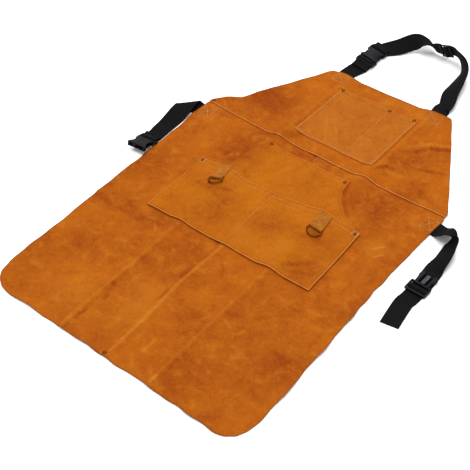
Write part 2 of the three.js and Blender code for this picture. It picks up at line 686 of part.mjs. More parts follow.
function neck() {
  const turn = -0.02;
  const roll = 0.16;
  const height = 9.5;
  const shoulder = { x: -107, y: 1005.5 };
  const spot = (along) => ({
    x: shoulder.x - Math.sin(turn) * along,
    y: shoulder.y + Math.cos(turn) * along,
    z: height,
    turn,
    roll,
  });
  const male = buckleMale(1);
  addMesh(apron, 'neck_buckle_male', placed(male.geometry, spot(0)), plastic);
  addMesh(apron, 'neck_buckle_female', placed(buckleFemale(), spot(0)), plastic);

  const leftRoute = routed(NECK_LEFT);
  const leftStrap = strip(stationsAlong(leftRoute.length, 12), 1, leftRoute.at);
  const leftLoop = placed(barLoop(LOOP_REACH).rotateZ(Math.PI), spot(male.lastBar));
  addMesh(apron, 'neck_strap_left', fuse(leftStrap, leftLoop), webbing);

  const rightRoute = routed(NECK_RIGHT, SLIDER_AT);
  const rightStrap = strip(stationsAlong(rightRoute.length, 11, weaveStations(SLIDER_AT)), 2, rightRoute.at);
  const rightLoop = placed(barLoop(LOOP_REACH), spot(BUCKLE_BAR));
  addMesh(apron, 'neck_strap_right', fuse(rightStrap, rightLoop), webbing);

  const { middle, tangent, side, normal } = rightRoute.frame(SLIDER_AT);
  const slider = addMesh(apron, 'neck_slider', sliderGeometry(), plastic);
  slider.quaternion.setFromRotationMatrix(new THREE.Matrix4().makeBasis(side, tangent, normal));
  slider.position.copy(middle).addScaledVector(normal, -WEAVE[0].lift / 2);
}

function waist() {
  const near = { count: 9, lead: 18, pitch: 6.3, least: 2.5 };
  const foldStations = (strap) => stationsAlong(strap.length, 12)
    .concat(Array.from({ length: near.count }, (_, i) => strap.before - near.lead + i * near.pitch))
    .sort((a, b) => a - b)
    .filter((s, i, all) => i === 0 || s - all[i - 1] > near.least);

  const leftStrap = strip(foldStations(WAIST_LEFT), 4, folded(WAIST_LEFT));
  const end = folded(WAIST_LEFT)(WAIST_LEFT.length, 0);
  const height = 6;
  const lie = { turn: 0.1, pitch: -0.25 };
  const bar = { x: end.x, y: end.y - 3, z: height };
  const leftLoop = placed(barLoop(LOOP_REACH), { ...bar, turn: lie.turn });
  addMesh(apron, 'waist_strap_left', fuse(leftStrap, leftLoop), webbing);
  const lean = new THREE.Euler(lie.pitch, 0, lie.turn, 'ZYX');
  const toMouth = new THREE.Vector3(0, -BUCKLE_BAR, 0).applyEuler(lean);
  const mouth = { ...lie, x: bar.x + toMouth.x, y: bar.y + toMouth.y, z: bar.z + toMouth.z };
  addMesh(apron, 'waist_buckle_female', placed(buckleFemale(), mouth), plastic);

  const route = routed(WAIST_RIGHT, MALE_AT);
  const rightStrap = strip(stationsAlong(route.length, 9, weaveStations(MALE_AT)), 3, route.at);
  addMesh(apron, 'waist_strap_right', toGeometry(toSolid(rightStrap)), webbing);
  const male = buckleMale(2);
  const { middle, tangent } = route.frame(MALE_AT);
  const turn = Math.atan2(tangent.x, -tangent.y);
  const spot = { turn, z: middle.z + WEAVE[0].lift / 2 + GAP };
  spot.x = middle.x + Math.sin(turn) * male.middleBar;
  spot.y = middle.y - Math.cos(turn) * male.middleBar;
  addMesh(apron, 'waist_buckle_male', placed(male.geometry, spot), plastic);
}

skirtLeft();
skirtRight();
bib();
chestPocket();
pocketBack();
pocketFront();
rivets();
ringsAndTabs();
neck();
waist();
apron.position.y = -WAIST_Y;

export default apron;
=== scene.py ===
"""A leather welding apron that lies flat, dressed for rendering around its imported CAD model."""

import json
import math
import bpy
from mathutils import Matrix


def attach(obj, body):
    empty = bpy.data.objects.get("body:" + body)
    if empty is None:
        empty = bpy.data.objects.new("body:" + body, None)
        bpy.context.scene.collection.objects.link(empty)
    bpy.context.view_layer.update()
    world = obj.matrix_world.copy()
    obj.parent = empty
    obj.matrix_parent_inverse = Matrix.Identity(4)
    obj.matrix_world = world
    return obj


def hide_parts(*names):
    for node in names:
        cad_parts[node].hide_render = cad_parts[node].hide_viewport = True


bl_info = {
    "name": "Leather welding apron",
    "version": (1, 0, 0),
    "blender": (4, 5, 0),
    "location": "3D View > Sidebar > Apron",
    "description": "Makes the leather, webbing and fittings of a welding apron that lies flat",
    "category": "Add Mesh",
}

from functools import lru_cache

import bmesh
import bpy
from bpy.props import FloatProperty, FloatVectorProperty, PointerProperty
from mathutils import Matrix, Vector, noise
from mathutils.geometry import interpolate_bezier

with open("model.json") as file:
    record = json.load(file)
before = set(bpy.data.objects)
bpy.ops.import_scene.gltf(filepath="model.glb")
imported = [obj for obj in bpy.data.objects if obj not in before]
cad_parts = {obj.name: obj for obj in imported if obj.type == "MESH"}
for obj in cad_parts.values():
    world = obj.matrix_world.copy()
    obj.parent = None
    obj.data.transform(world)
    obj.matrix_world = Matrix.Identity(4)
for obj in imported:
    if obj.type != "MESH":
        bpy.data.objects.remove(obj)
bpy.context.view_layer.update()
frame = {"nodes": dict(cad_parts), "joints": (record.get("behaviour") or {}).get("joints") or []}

# Plan sizes, in millimetres: x from the centre line, y from the hem, z from the surface it lies on
MM = 0.001
WAIST_Y = 678
LEATHER = 1.4
GAP = 0.4
LAYER = LEATHER + GAP
WEB_WIDTH = 38
WEB_THICK = 1.6
WEB_RIM = 0.4
STRAP_LIFT = 2.4
PANEL_STEP = 3
STRAP_STEP = 2
FRONT_POCKET = {"left": -195, "right": 202, "bottom": 352, "top": 532, "mouth": 20, "bulge": 9.5}
CHEST_POCKET = {"left": -95, "right": 103, "bottom": 714, "top": 895, "bulge": 2.5}

# Where leather starts to rise over what lies under it, is raised in full, and comes down again
LAP = (-34, -12, 10, 32)
BIB_LAP = (730, 702)
NECK_ENDS = ((-170, -144, -90, -72), (76, 94, 148, 175))
NECK_ENDS_FROM = (880, 902)
WAIST_ENDS = (600, 622, 676, 702)
WAIST_ENDS_FROM = (235, 268)


def rows_of(names, *rows):
    """A short table: each row as a dictionary with the named columns."""
    columns = names.split()
    return [dict(zip(columns, row)) for row in rows]


# Raised folds, each from one point to another, with its height at both and its half width
FOLDS = rows_of(
    "x0 y0 h0 x1 y1 h1 half",
    (-108, 960, 3, -108, 690, 8, 36),
    (-108, 690, 8, -108, 360, 5, 36),
    (-108, 360, 5, -108, -12, 2.5, 36),
    (112, 960, 3, 112, 690, 8, 36),
    (112, 690, 8, 112, 360, 6.5, 36),
    (112, 360, 6.5, 112, -12, 3, 36),
    (330, 348, 5, 205, 348, 0, 44),
    (330, 252, 6, 195, 256, 0, 50),
    (330, 140, 5, 220, 140, 0, 56),
    (-280, 722, 4, -160, 925, 5, 34),
    (135, 885, 1, 232, 735, 3.5, 34),
    (-330, 420, 5, -250, 420, 0, 60),
    (-205, -12, 4.5, -200, 70, 0, 45),
    (-50, -12, 3.5, -50, 60, 0, 38),
    (215, -12, 3, 210, 70, 0, 45),
)

# Small creases on top of the folds
CREASES = rows_of(
    "x0 y0 h0 x1 y1 h1 half",
    (2, 350, 0.8, -2, 217, 1.3, 8),
    (-2, 217, 1.3, 4, 150, 1.3, 8),
    (4, 150, 1.3, 8, 20, 1.0, 8),
    (-108, 350, 0.7, -108, 0, 0.6, 6),
    (112, 350, 0.7, 112, 0, 0.6, 6),
    (-300, 322, 2.2, -140, 318, 0.8, 12),
    (205, 318, 1.0, 305, 314, 2.6, 9),
    (215, 208, 0.4, 315, 206, 2.4, 9),
    (119, 793, 1.6, 147, 816, 2.6, 9),
    (147, 816, 2.6, 167, 840, 2.8, 9),
    (167, 840, 2.8, 203, 861, 2.8, 9),
    (150, 772, 1.0, 170, 770, 2.2, 9),
    (170, 770, 2.2, 201, 777, 2.8, 9),
    (201, 777, 2.8, 234, 793, 1.8, 9),
    (109, 707, 1.8, 125, 736, 2.6, 9),
    (125, 736, 2.6, 140, 741, 2.4, 9),
    (140, 741, 2.4, 172, 742, 1.4, 9),
    (222, 718, 2.0, 274, 694, 1.6, 13),
    (126, 381, 2.4, 172, 424, 2.2, 11),
    (149, 382, 1.8, 183, 394, 1.6, 9),
    (60, 392, 1.4, 122, 470, 1.2, 11),
    (-150, 470, 1.8, -60, 452, 1.8, 13),
    (-119, 459, 2.4, -81, 478, 2.2, 11),
    (200, 585, 0.9, 300, 598, 2.0, 11),
    (-265, 470, 1.8, -225, 540, 1.0, 12),
    (-30, 210, 1.0, 60, 186, 0.8, 12),
    (-196, 130, 1.0, -96, 150, 1.4, 11),
    (-172, 42, 1.4, -118, 70, 1.0, 10),
    (40, 90, 0.8, 190, 70, 1.2, 12),
    (-250, 760, 1.6, -190, 800, 1.2, 11),
    (-240, 735, 1.2, -150, 745, 1.6, 12),
)

# The slight unevenness of leather that has been packed: the span of its swells, their seed and their height
RIPPLES = rows_of("span seed height", (52, 3.1, 1.0), (19, 7.7, 0.5))


def clamp(value, low, high):
    """A value kept between two others."""
    return min(high, max(low, value))


def ramp(value, start, end):
    """The share of the way from start to end, from 0 to 1."""
    return clamp((value - start) / (end - start), 0, 1)


def hump(value, start, full, last, end):
    """Rises from start to full, and falls from last to end."""
    return ramp(value, start, full) * ramp(value, end, last)


def smooth(t):
    """A share eased at both ends."""
    return t * t * (3 - 2 * t)


def ease_table(table, key, at, column):
    """A column of a table as a smooth curve through its rows, with no overshoot between them."""
    last = len(table) - 1
    after = next((i for i, line in enumerate(table) if line[key] > at), None)
    if after is None or after == 0:
        return table[0 if after == 0 else last][column]
    k = after - 1

    def secant(i):
        return (table[i + 1][column] - table[i][column]) / (table[i + 1][key] - table[i][key])

    def slope(i):
        product = secant(i - 1) * secant(i) if 0 < i < last else 0
        return 2 * product / (secant(i - 1) + secant(i)) if product > 0 else 0

    span = table[after][key] - table[k][key]
    t = (at - table[k][key]) / span
    rise = table[after][column] - table[k][column]
    bend = slope(k) * span * t * (1 - t) * (1 - t) - slope(after) * span * t * t * (1 - t)
    return table[k][column] + rise * smooth(t) + bend


def distance(x, y, x0, y0, x1, y1):
    """How far a plan point is from a straight line, and the share of the line that is nearest."""
    dx = x1 - x0
    dy = y1 - y0
    t = clamp(((x - x0) * dx + (y - y0) * dy) / (dx * dx + dy * dy), 0, 1)
    return math.hypot(x - x0 - t * dx, y - y0 - t * dy), t


def off_line(line, x, y):
    """The same for a row of a table that gives the two ends of a line."""
    return distance(x, y, line["x0"], line["y0"], line["x1"], line["y1"])


def path_lengths(points):
    """How far along a path each of its points is."""
    reach = [0.0]
    for before, after in zip(points, points[1:]):
        reach.append(reach[-1] + (after - before).length)
    return reach


def uneven(x, y, span, seed):
    """Smooth noise over the plan, between -1 and 1."""
    return noise.noise((x / span, y / span, seed))


def highest(folds, x, y):
    """The height of the highest fold at a plan point."""
    height = 0
    for fold in folds:
        away, t = off_line(fold, x, y)
        if away < fold["half"]:
            crest = fold["h0"] + t * (fold["h1"] - fold["h0"])
            height = max(height, crest * (0.5 + 0.5 * math.cos(math.pi * away / fold["half"])))
    return height


def ripple(x, y):
    """The height of the swells at a plan point."""
    height = 0
    for swell in RIPPLES:
        height += swell["height"] * (0.5 + 0.5 * uneven(x, y, swell["span"], swell["seed"]))
    return height


def sewn_lift(x, y):
    """Room under the leather for the sewn ends of the four straps."""
    neck = max(hump(x, *ends) for ends in NECK_ENDS) * ramp(y, *NECK_ENDS_FROM)
    waist = ramp(abs(x), *WAIST_ENDS_FROM) * hump(y, *WAIST_ENDS)
    return STRAP_LIFT * max(neck, waist)


# Heights of the undersides of the leather layers
@lru_cache(maxsize=None)
def base(x, y):
    """The skirt's left half, and what all the layers over it follow."""
    return highest(FOLDS, x, y) + highest(CREASES, x, y) + ripple(x, y) + sewn_lift(x, y)


def lap(x):
    """How much the two halves' lap lifts what lies over it."""
    return LAYER * hump(x, *LAP)


def right_half(x, y):
    """The skirt's right half, which laps over the left one."""
    last, end = LAP[2:]
    return base(x, y) + LAYER * ramp(x, end, last)


def bib_under(x, y):
    """The bib, which laps over the skirt."""
    return base(x, y) + (LAYER + lap(x)) * ramp(y, *BIB_LAP)


def back_under(x, y):
    """The back pocket."""
    return base(x, y) + lap(x) + LAYER


def front_under(x, y):
    """The front pocket, which bulges on both sides of its centre seam."""
    size = FRONT_POCKET
    lobe = ramp(x, size["left"], 0) if x < 0 else ramp(x, size["right"], 0)
    upward = smooth(ramp(y, size["bottom"], size["top"] - size["mouth"]))
    return back_under(x, y) + LAYER + size["bulge"] * math.sin(math.pi * lobe) * upward


def chest_under(x, y):
    """The chest pocket, which bulges a little at its mouth."""
    size = CHEST_POCKET
    across = math.sin(math.pi * ramp(x, size["left"], size["right"]))
    return bib_under(x, y) + LAYER + size["bulge"] * across * ramp(y, size["bottom"], size["top"])


# The six leather panels: what each follows and lies on, how rubbed or dark its rims are, and its four sides
PANELS = {
    "skirt_left": {
        "under": base, "slot": "suede", "on": (),
        "worn": {"left": -0.5, "bottom": -0.5}, "wander": 3.4,
        "bottom": ((-286, 25), (-266.5, 13.3), (-240, 8), (-120, 6), (7, 4)),
        "right": ((7, 4), (7, 697)),
        "top": ((-292, 697), (7, 697)),
        "left": ((-286, 25), (-298.5, 43), (-304, 68), (-304, 330), (-302, 430), (-306, 520), (-305, 676),
                 (-292, 697)),
    },
    "skirt_right": {
        "under": right_half, "slot": "suede", "on": ("skirt_left",),
        "worn": {"right": -0.5, "bottom": -0.5}, "wander": 3.4,
        "bottom": ((-7, 4), (150, 0), (268, -4), (289, 0.8), (304.8, 13)),
        "right": ((304.8, 13), (314.7, 32.8), (319, 60), (319, 130), (313, 198), (316, 250), (308, 304),
                  (309, 348), (304, 430), (302, 560), (305, 676), (292, 697)),
        "top": ((-7, 697), (292, 697)),
        "left": ((-7, 4), (-7, 697)),
    },
    "bib": {
        "under": bib_under, "slot": "suede", "on": ("skirt_left", "skirt_right"),
        "worn": {"left": -0.5, "right": -0.5, "bottom": 0.75, "top": -1.0}, "wander": 1.6,
        "bottom": ((-303, 680), (-150, 675), (150, 676), (303, 678)),
        "right": ((303, 678), (305, 690), (158, 940), (153, 945.3)),
        "top": ((-147.5, 928), (-132, 937), (-90, 934), (0, 937), (100, 942), (146, 947), (153, 945.3)),
        "left": ((-303, 680), (-303, 691), (-281.8, 712.8), (-256, 734), (-224, 796), (-198, 842),
                 (-158, 914), (-147.5, 928)),
    },
    "chest_pocket": {
        "under": chest_under, "slot": "pocket_suede", "look": "chest_suede", "on": ("bib",),
        "worn": {"left": 0.5, "right": 0.5, "bottom": 0.6, "top": 0.05}, "wander": 0.8,
        "bottom": ((-95, 714), (103, 714)),
        "right": ((103, 714), (101, 895)),
        "top": ((-93, 892), (101, 895)),
        "left": ((-95, 714), (-93, 892)),
    },
    "pocket_back": {
        "under": back_under, "slot": "pocket_suede", "on": ("skirt_left", "skirt_right"),
        "worn": {"left": 0.05, "right": 0.15, "top": 0.25}, "wander": 0.8,
        "bottom": ((-191, 357), (202, 361)),
        "right": ((202, 361), (193, 528), (190, 540), (145, 561), (116.5, 586), (100.5, 615), (94, 649)),
        "top": ((-109, 649), (94, 649)),
        "left": ((-191, 357), (-190, 534), (-157.6, 545.6), (-134.6, 560.3), (-120, 580), (-113, 606),
                 (-109, 649)),
    },
    "pocket_front": {
        "under": front_under, "slot": "pocket_suede", "on": ("pocket_back",),
        "worn": {"left": 0.25, "right": 0.6, "bottom": 0.65, "top": 0.35}, "wander": 0.8,
        "bottom": ((-195, 351), (206, 356)),
        "right": ((206, 356), (197, 540)),
        "top": ((-194, 526), (-75, 519), (0, 530), (130, 538), (197, 540)),
        "left": ((-195, 351), (-194, 526)),
    },
}

# Stains in the leather: where each is, how far it reaches, and how dark or, below zero, how pale it is
STAINS = rows_of(
    "x y wide tall amount",
    (-205, 768, 62, 40, 0.85),
    (-150, 615, 60, 60, 0.8),
    (-150, 560, 50, 40, 0.5),
    (165, 612, 76, 46, 0.55),
    (175, 810, 50, 60, 0.5),
    (-10, 664, 130, 13, 0.5),
    (-262, 470, 40, 70, 0.55),
    (-250, 320, 80, 40, 0.45),
    (-220, 210, 60, 60, 0.35),
    (-60, 300, 50, 120, 0.4),
    (160, 250, 60, 120, 0.35),
    (250, 150, 70, 80, 0.45),
    (170, 60, 60, 60, 0.4),
    (45, 450, 52, 48, 0.5),
    (150, 465, 56, 34, 0.5),
    (165, 400, 46, 38, 0.42),
    (-65, 415, 52, 48, 0.45),
    (-115, 470, 64, 28, 0.4),
    (20, 400, 30, 30, -0.3),
    (95, 400, 34, 40, -0.35),
    (245, 525, 30, 26, -0.45),
    (-20, 130, 40, 70, -0.4),
    (-250, 850, 60, 60, -0.35),
    (20, 915, 100, 30, -0.2),
    (-60, 190, 50, 40, -0.25),
    (-150, 90, 60, 60, -0.3),
)

# Thin marks along creases, folds and seams: most are painted shade in their hollows and painted highlights
# on their ridges, some are painted shadow beside the lifted side of the back pocket and under the rings, and
# some are rubbed lines; where each runs, its half width, and how dark or pale it is
SHADING_AND_RUB_MARKS = rows_of(
    "x0 y0 x1 y1 half amount",
    (2, 350, -2, 217, 5, -0.6),
    (-2, 217, 4, 150, 5, -0.5),
    (4, 150, 8, 20, 5, -0.6),
    (-9, 340, -12, 217, 7, 0.25),
    (13, 140, 17, 20, 7, 0.25),
    (-108, 345, -108, 10, 5, -0.3),
    (-99, 345, -99, 10, 6, 0.3),
    (112, 345, 112, 10, 5, -0.3),
    (121, 345, 121, 10, 6, 0.3),
    (-108, 930, -108, 700, 5, -0.25),
    (112, 930, 112, 700, 5, -0.25),
    (203, 304, 312, 299, 8, 0.3),
    (222, 199, 316, 196, 8, 0.25),
    (185, 287, 222, 308, 8, 0.3),
    (-6, 173, -7, 196, 5, 0.9),
    (122, 789, 150, 812, 6, 0.25),
    (150, 812, 170, 836, 6, 0.4),
    (170, 836, 204, 856, 7, 0.65),
    (130, 816, 160, 849, 9, -0.4),
    (160, 849, 194, 869, 9, -0.5),
    (173, 766, 204, 772, 6, 0.5),
    (204, 772, 235, 788, 6, 0.6),
    (112, 703, 128, 732, 6, 0.5),
    (128, 732, 143, 737, 6, 0.45),
    (135, 722, 172, 730, 7, -0.4),
    (225, 713, 277, 689, 9, 0.3),
    (116, 830, 118, 878, 8, 0.5),
    (129, 376, 175, 419, 7, 0.22),
    (152, 377, 185, 389, 6, 0.18),
    (-116, 454, -78, 473, 8, 0.3),
    (-150, 457, -62, 440, 8, 0.25),
    (-99, 39, -97, 64, 6, 0.7),
    (-88, 110, -100, 150, 8, 0.5),
    (-185, 317, -130, 323, 8, 0.4),
    (-300, 309, -170, 307, 8, 0.35),
    (113, 10, 113, 28, 4, -0.7),
    (53, 57, 56, 89, 6, -0.5),
    (238, 522, 252, 540, 4, -0.8),
    (252, 506, 262, 520, 4, -0.7),
    (-122, 476, -114, 471, 9, 0.3),
    (124, 479, 133, 475, 9, 0.3),
    (150, 566, 121, 590, 5, 0.6),
    (121, 590, 105, 617, 5, 0.7),
    (105, 617, 98, 648, 5, 0.7),
    (-66, 790, -20, 722, 4, -0.5),
    (-50, 800, 6, 726, 4, -0.4),
)
STAIN_REACH = 1.5
WEAR_WIDTH = 3.2
# The painted shadow beside the rubbed sides of the panels that lie on a panel: how far it reaches, and how
# dark it is at their edge
PAINTED_SHADOW_WIDTH = 6
PAINTED_SHADOW_AMOUNT = 0.4

# How the cut of a side wanders: the span and the seed of its noise, and how often its kinks are eased
WANDER_SPAN = 38
WANDER_SEED = 1.3
EASE_PASSES = 5

# Names that the finishes and the pieces share
RAW_EDGE = "raw_edge"
STAIN_AND_SHADING = "stain_and_shading"
WORN = "worn"
CUT_MAP = "cut"
BODY = "apron"


def measure(name, description, default, unit="LENGTH"):
    """A size that may be changed."""
    return FloatProperty(name=name, description=description, default=default, unit=unit)


class ApronSizes(bpy.types.PropertyGroup):
    """Sizes of the sewing and the fittings that may be changed."""

    rim: measure("Leather Edge", "Rounding of the cut edges of the leather", 0.00035)
    stitch: measure("Stitch", "Length of one stitch", 0.0039)
    pitch: measure("Stitch Pitch", "Distance from one stitch to the next", 0.0042)
    thread: measure("Thread", "Thickness of the sewing thread", 0.0018)
    fine_thread: measure("Fine Thread", "Thickness of the thread that hardly shows", 0.0009)
    lens: measure("Lens", "Focal length of the camera, in millimetres", 98.476, "CAMERA")


def colour(name, description, default):
    """A colour that may be changed."""
    return FloatVectorProperty(
        name=name, description=description, default=default, subtype="COLOR", size=3, min=0, max=1)


class ApronColours(bpy.types.PropertyGroup):
    """Colours of the leather, the webbing and the fittings."""

    suede: colour("Suede", "The leather of the skirt and the bib", (0.316, 0.077, 0.0044))
    # The stain colour also paints the painted shade in creases and the painted shadow beside laps; the rub
    # colour also paints the painted highlights on ridges
    suede_dark_and_shade: colour("Suede Stain and Shade", "The redder, darker patches of the leather", (0.206, 0.0361, 0.0033))
    suede_pale_and_highlight: colour("Suede Rub and Highlight", "The paler, rubbed patches of the leather", (0.408, 0.1335, 0.0114))
    pocket: colour("Pocket Suede", "The leather of the front pockets", (0.345, 0.095, 0.0043))
    chest: colour("Chest Suede", "The leather of the chest pocket", (0.316, 0.0905, 0.0087))
    worn: colour("Worn Edge", "The rubbed edges of the pockets and laps", (0.52, 0.185, 0.05))
    rim: colour("Dark Rim", "The outer rims of the skirt and the bib", (0.05, 0.022, 0.008))
    raw: colour("Raw Edge", "The cut edges of the pockets", (0.5, 0.138, 0.02))
    raw_dark: colour("Raw Edge, Outer", "The cut edges of the skirt and the bib", (0.316, 0.085, 0.014))
    tan: colour("Tan Leather", "The tabs of the rings", (0.335, 0.108, 0.012))
    pale: colour("Pale Leather", "The patches under the rivets", (0.46, 0.19, 0.064))
    thread: colour("Thread", "The thread of the pocket seams", (0.58, 0.215, 0.05))
    faint: colour("Faint Thread", "The thread of the seams that hardly show", (0.354, 0.098, 0.0079))
    cream: colour("Cream Thread", "The thread of the crossed boxes at the strap ends", (0.5, 0.225, 0.07))
    webbing: colour("Webbing", "The four straps", (0.003, 0.003, 0.0035))
    plastic: colour("Plastic", "The buckles and the slider", (0.0041, 0.0041, 0.0053))
    grip: colour("Grip Plastic", "The ribbed guide of the waist buckle", (0.063, 0.063, 0.066))
    bronze: colour("Bronze", "The rivets and the rings", (0.22, 0.062, 0.009))
    floor: colour("Floor", "The surface it lies on", (0.97, 0.97, 0.97))


class Finish:
    """A material under construction, with short calls for the nodes that the finishes share."""

    def __init__(self, name, roughness, specular=0.3, metallic=0.0):
        self.material = bpy.data.materials.new(name)
        self.material.use_nodes = True
        self.tree = self.material.node_tree
        self.shader = self.tree.nodes["Principled BSDF"]
        self.shader.inputs["Metallic"].default_value = metallic
        self.shader.inputs["Specular IOR Level"].default_value = specular
        self.shader.inputs["Roughness"].default_value = roughness
        self.place = self.add("ShaderNodeTexCoord").outputs["Object"]

    def add(self, kind, **settings):
        """A node with the settings given."""
        node = self.tree.nodes.new(kind)
        for key, value in settings.items():
            setattr(node, key, value)
        return node

    def feed(self, socket, value):
        """Links or sets a socket."""
        if isinstance(value, bpy.types.NodeSocket):
            self.tree.links.new(value, socket)
        else:
            socket.default_value = value

    def noise(self, scale, detail=3, roughness=0.55, distortion=0.0, place=None):
        """Cloudy noise, by its scale, detail, roughness and distortion."""
        node = self.add("ShaderNodeTexNoise")
        self.feed(node.inputs["Vector"], place or self.place)
        node.inputs["Scale"].default_value = scale
        node.inputs["Detail"].default_value = detail
        node.inputs["Roughness"].default_value = roughness
        node.inputs["Distortion"].default_value = distortion
        return node.outputs["Fac"]

    def stretched(self, scale):
        """The object's coordinates, scaled by a different amount on each axis."""
        node = self.add("ShaderNodeMapping")
        self.feed(node.inputs["Vector"], self.place)
        node.inputs["Scale"].default_value = scale
        return node.outputs["Vector"]

    def span(self, value, low, high, to_low=0.0, to_high=1.0):
        """The range from low to high, made the range from to_low to to_high."""
        node = self.add("ShaderNodeMapRange")
        self.feed(node.inputs["Value"], value)
        ends = {"From Min": low, "From Max": high, "To Min": to_low, "To Max": to_high}
        for socket, number in ends.items():
            node.inputs[socket].default_value = number
        return node.outputs["Result"]

    def maths(self, operation, first, second):
        """One sum on two values."""
        node = self.add("ShaderNodeMath", operation=operation)
        self.feed(node.inputs[0], first)
        self.feed(node.inputs[1], second)
        return node.outputs[0]

    def total(self, first, *others):
        """A sum."""
        for other in others:
            first = self.maths("ADD", first, other)
        return first

    def waves(self, distance, pitch):
        """A sine along a distance, with one wave to each pitch."""
        return self.maths("SINE", self.maths("MULTIPLY", distance, 2 * math.pi / pitch), 0.0)

    def mix(self, share, first, second, blend="MIX"):
        """A share of the second colour over the first."""
        node = self.add("ShaderNodeMix", data_type="RGBA", blend_type=blend)
        self.feed(node.inputs["Factor"], share)
        for socket, value in zip((node.inputs[6], node.inputs[7]), (first, second)):
            linked = isinstance(value, bpy.types.NodeSocket)
            self.feed(socket, value if linked else (*value, 1.0))
        return node.outputs[2]

    def attribute(self, name):
        """A piece's own value at each point."""
        return self.add("ShaderNodeAttribute", attribute_name=name).outputs["Fac"]

    def cut_map(self):
        """Where each point was on the flat cut piece."""
        return self.add("ShaderNodeUVMap", uv_map=CUT_MAP).outputs["UV"]

    def bump(self, height, distance, strength, under=None):
        """Fine relief, over the relief under it."""
        node = self.add("ShaderNodeBump")
        self.feed(node.inputs["Height"], height)
        node.inputs["Distance"].default_value = distance
        node.inputs["Strength"].default_value = strength
        if under is not None:
            self.feed(node.inputs["Normal"], under)
        return node.outputs["Normal"]

    def done(self, base, roughness=None, normal=None):
        """The finished material."""
        self.feed(self.shader.inputs["Base Color"], base)
        if roughness is not None:
            self.feed(self.shader.inputs["Roughness"], roughness)
        if normal is not None:
            self.feed(self.shader.inputs["Normal"], normal)
        return self.material


def toned(plain, share):
    """A colour made darker or lighter."""
    return [min(1.0, share * c) for c in plain]


# How strongly each suede is mottled, and how far apart the ribs and the warps of the webbing are
MOTTLING = {"suede": 1.0, "pocket": 0.65, "chest": 0.7}
RIB_PITCH = 0.0017
WARP_PITCH = 0.0024
FIBRE_SCALE = (900, 240, 900)


def suede_finish(name, plain, raw, mottling, colours):
    """Napped split leather: mottled, with stains, painted shade and painted highlights, rubbed patches, worn
    or dark rims and raw cut edges.
    """
    finish = Finish(name, roughness=0.9, specular=0.03)
    cloud = finish.noise(8, detail=4, roughness=0.6, distortion=0.6)
    mottle = finish.noise(34, detail=4, roughness=0.66, distortion=0.5)
    fleck = finish.noise(130, detail=3, roughness=0.6, distortion=0.3)
    nap = finish.noise(520, detail=2, roughness=0.6)
    fibre = finish.noise(1, detail=3, roughness=0.65, distortion=0.2, place=finish.stretched(FIBRE_SCALE))
    # Stains, painted shade and painted highlights, as noted at each point of the panel
    stain_and_shading = finish.attribute(STAIN_AND_SHADING)
    worn = finish.attribute(WORN)
    # Darker with random mottling, stains and painted shade; paler with random mottling, pale stains and
    # painted highlights
    dark = finish.total(
        finish.span(cloud, 0.44, 0.70, 0.0, 0.6 * mottling),
        finish.span(stain_and_shading, 0.0, 1.0, 0.0, 0.85),
        finish.span(mottle, 0.46, 0.28, 0.0, 0.5 * mottling),
        finish.span(fleck, 0.45, 0.25, 0.0, 0.25))
    pale = finish.total(
        finish.span(mottle, 0.52, 0.76, 0.0, 0.55 * mottling),
        finish.span(stain_and_shading, 0.0, -1.0, 0.0, 0.9),
        finish.span(fleck, 0.54, 0.76, 0.0, 0.25))
    pile = finish.total(nap, fibre)
    rubbed = finish.maths("MULTIPLY", finish.span(worn, 0.0, 0.8), finish.span(fleck, 0.3, 0.6, 0.5, 1.0))
    tone = finish.mix(dark, plain, colours.suede_dark_and_shade)
    tone = finish.mix(pale, tone, colours.suede_pale_and_highlight)
    tone = finish.mix(1.0, tone, finish.span(pile, 0.7, 1.3, 0.84, 1.15), "MULTIPLY")
    tone = finish.mix(rubbed, tone, colours.worn)
    tone = finish.mix(finish.span(worn, 0.0, -1.0), tone, colours.rim)
    tone = finish.mix(finish.attribute(RAW_EDGE), tone, raw)
    normal = finish.bump(pile, distance=0.00035, strength=0.55)
    normal = finish.bump(mottle, distance=0.0016, strength=0.5, under=normal)
    finish.shader.inputs["Sheen Weight"].default_value = 0.06
    finish.shader.inputs["Sheen Roughness"].default_value = 0.5
    finish.shader.inputs["Sheen Tint"].default_value = (1.0, 0.35, 0.03, 1.0)
    return finish.done(tone, finish.span(mottle, 0.3, 0.7, 0.82, 0.96), normal)


def leather_finish(name, plain):
    """Smooth leather with a fine grain, darker patches and paler cut edges."""
    finish = Finish(name, roughness=0.8, specular=0.04)
    grain = finish.noise(650, detail=3, roughness=0.6)
    wear = finish.noise(90, detail=4, roughness=0.6)
    tone = finish.mix(finish.span(wear, 0.35, 0.7), plain, toned(plain, 0.66))
    tone = finish.mix(finish.attribute(RAW_EDGE), tone, toned(plain, 1.35))
    normal = finish.bump(grain, distance=0.0003, strength=0.5)
    return finish.done(tone, finish.span(wear, 0.3, 0.7, 0.62, 0.85), normal)


def thread_finish(name, plain):
    """Twisted sewing thread, soiled here and there."""
    finish = Finish(name, roughness=0.85, specular=0.03)
    soil = finish.noise(60, detail=3, roughness=0.6)
    twist = finish.noise(2600, detail=1, roughness=0.5)
    tone = finish.mix(finish.span(soil, 0.35, 0.75), plain, toned(plain, 0.7))
    return finish.done(tone, normal=finish.bump(twist, distance=0.0002, strength=0.5))


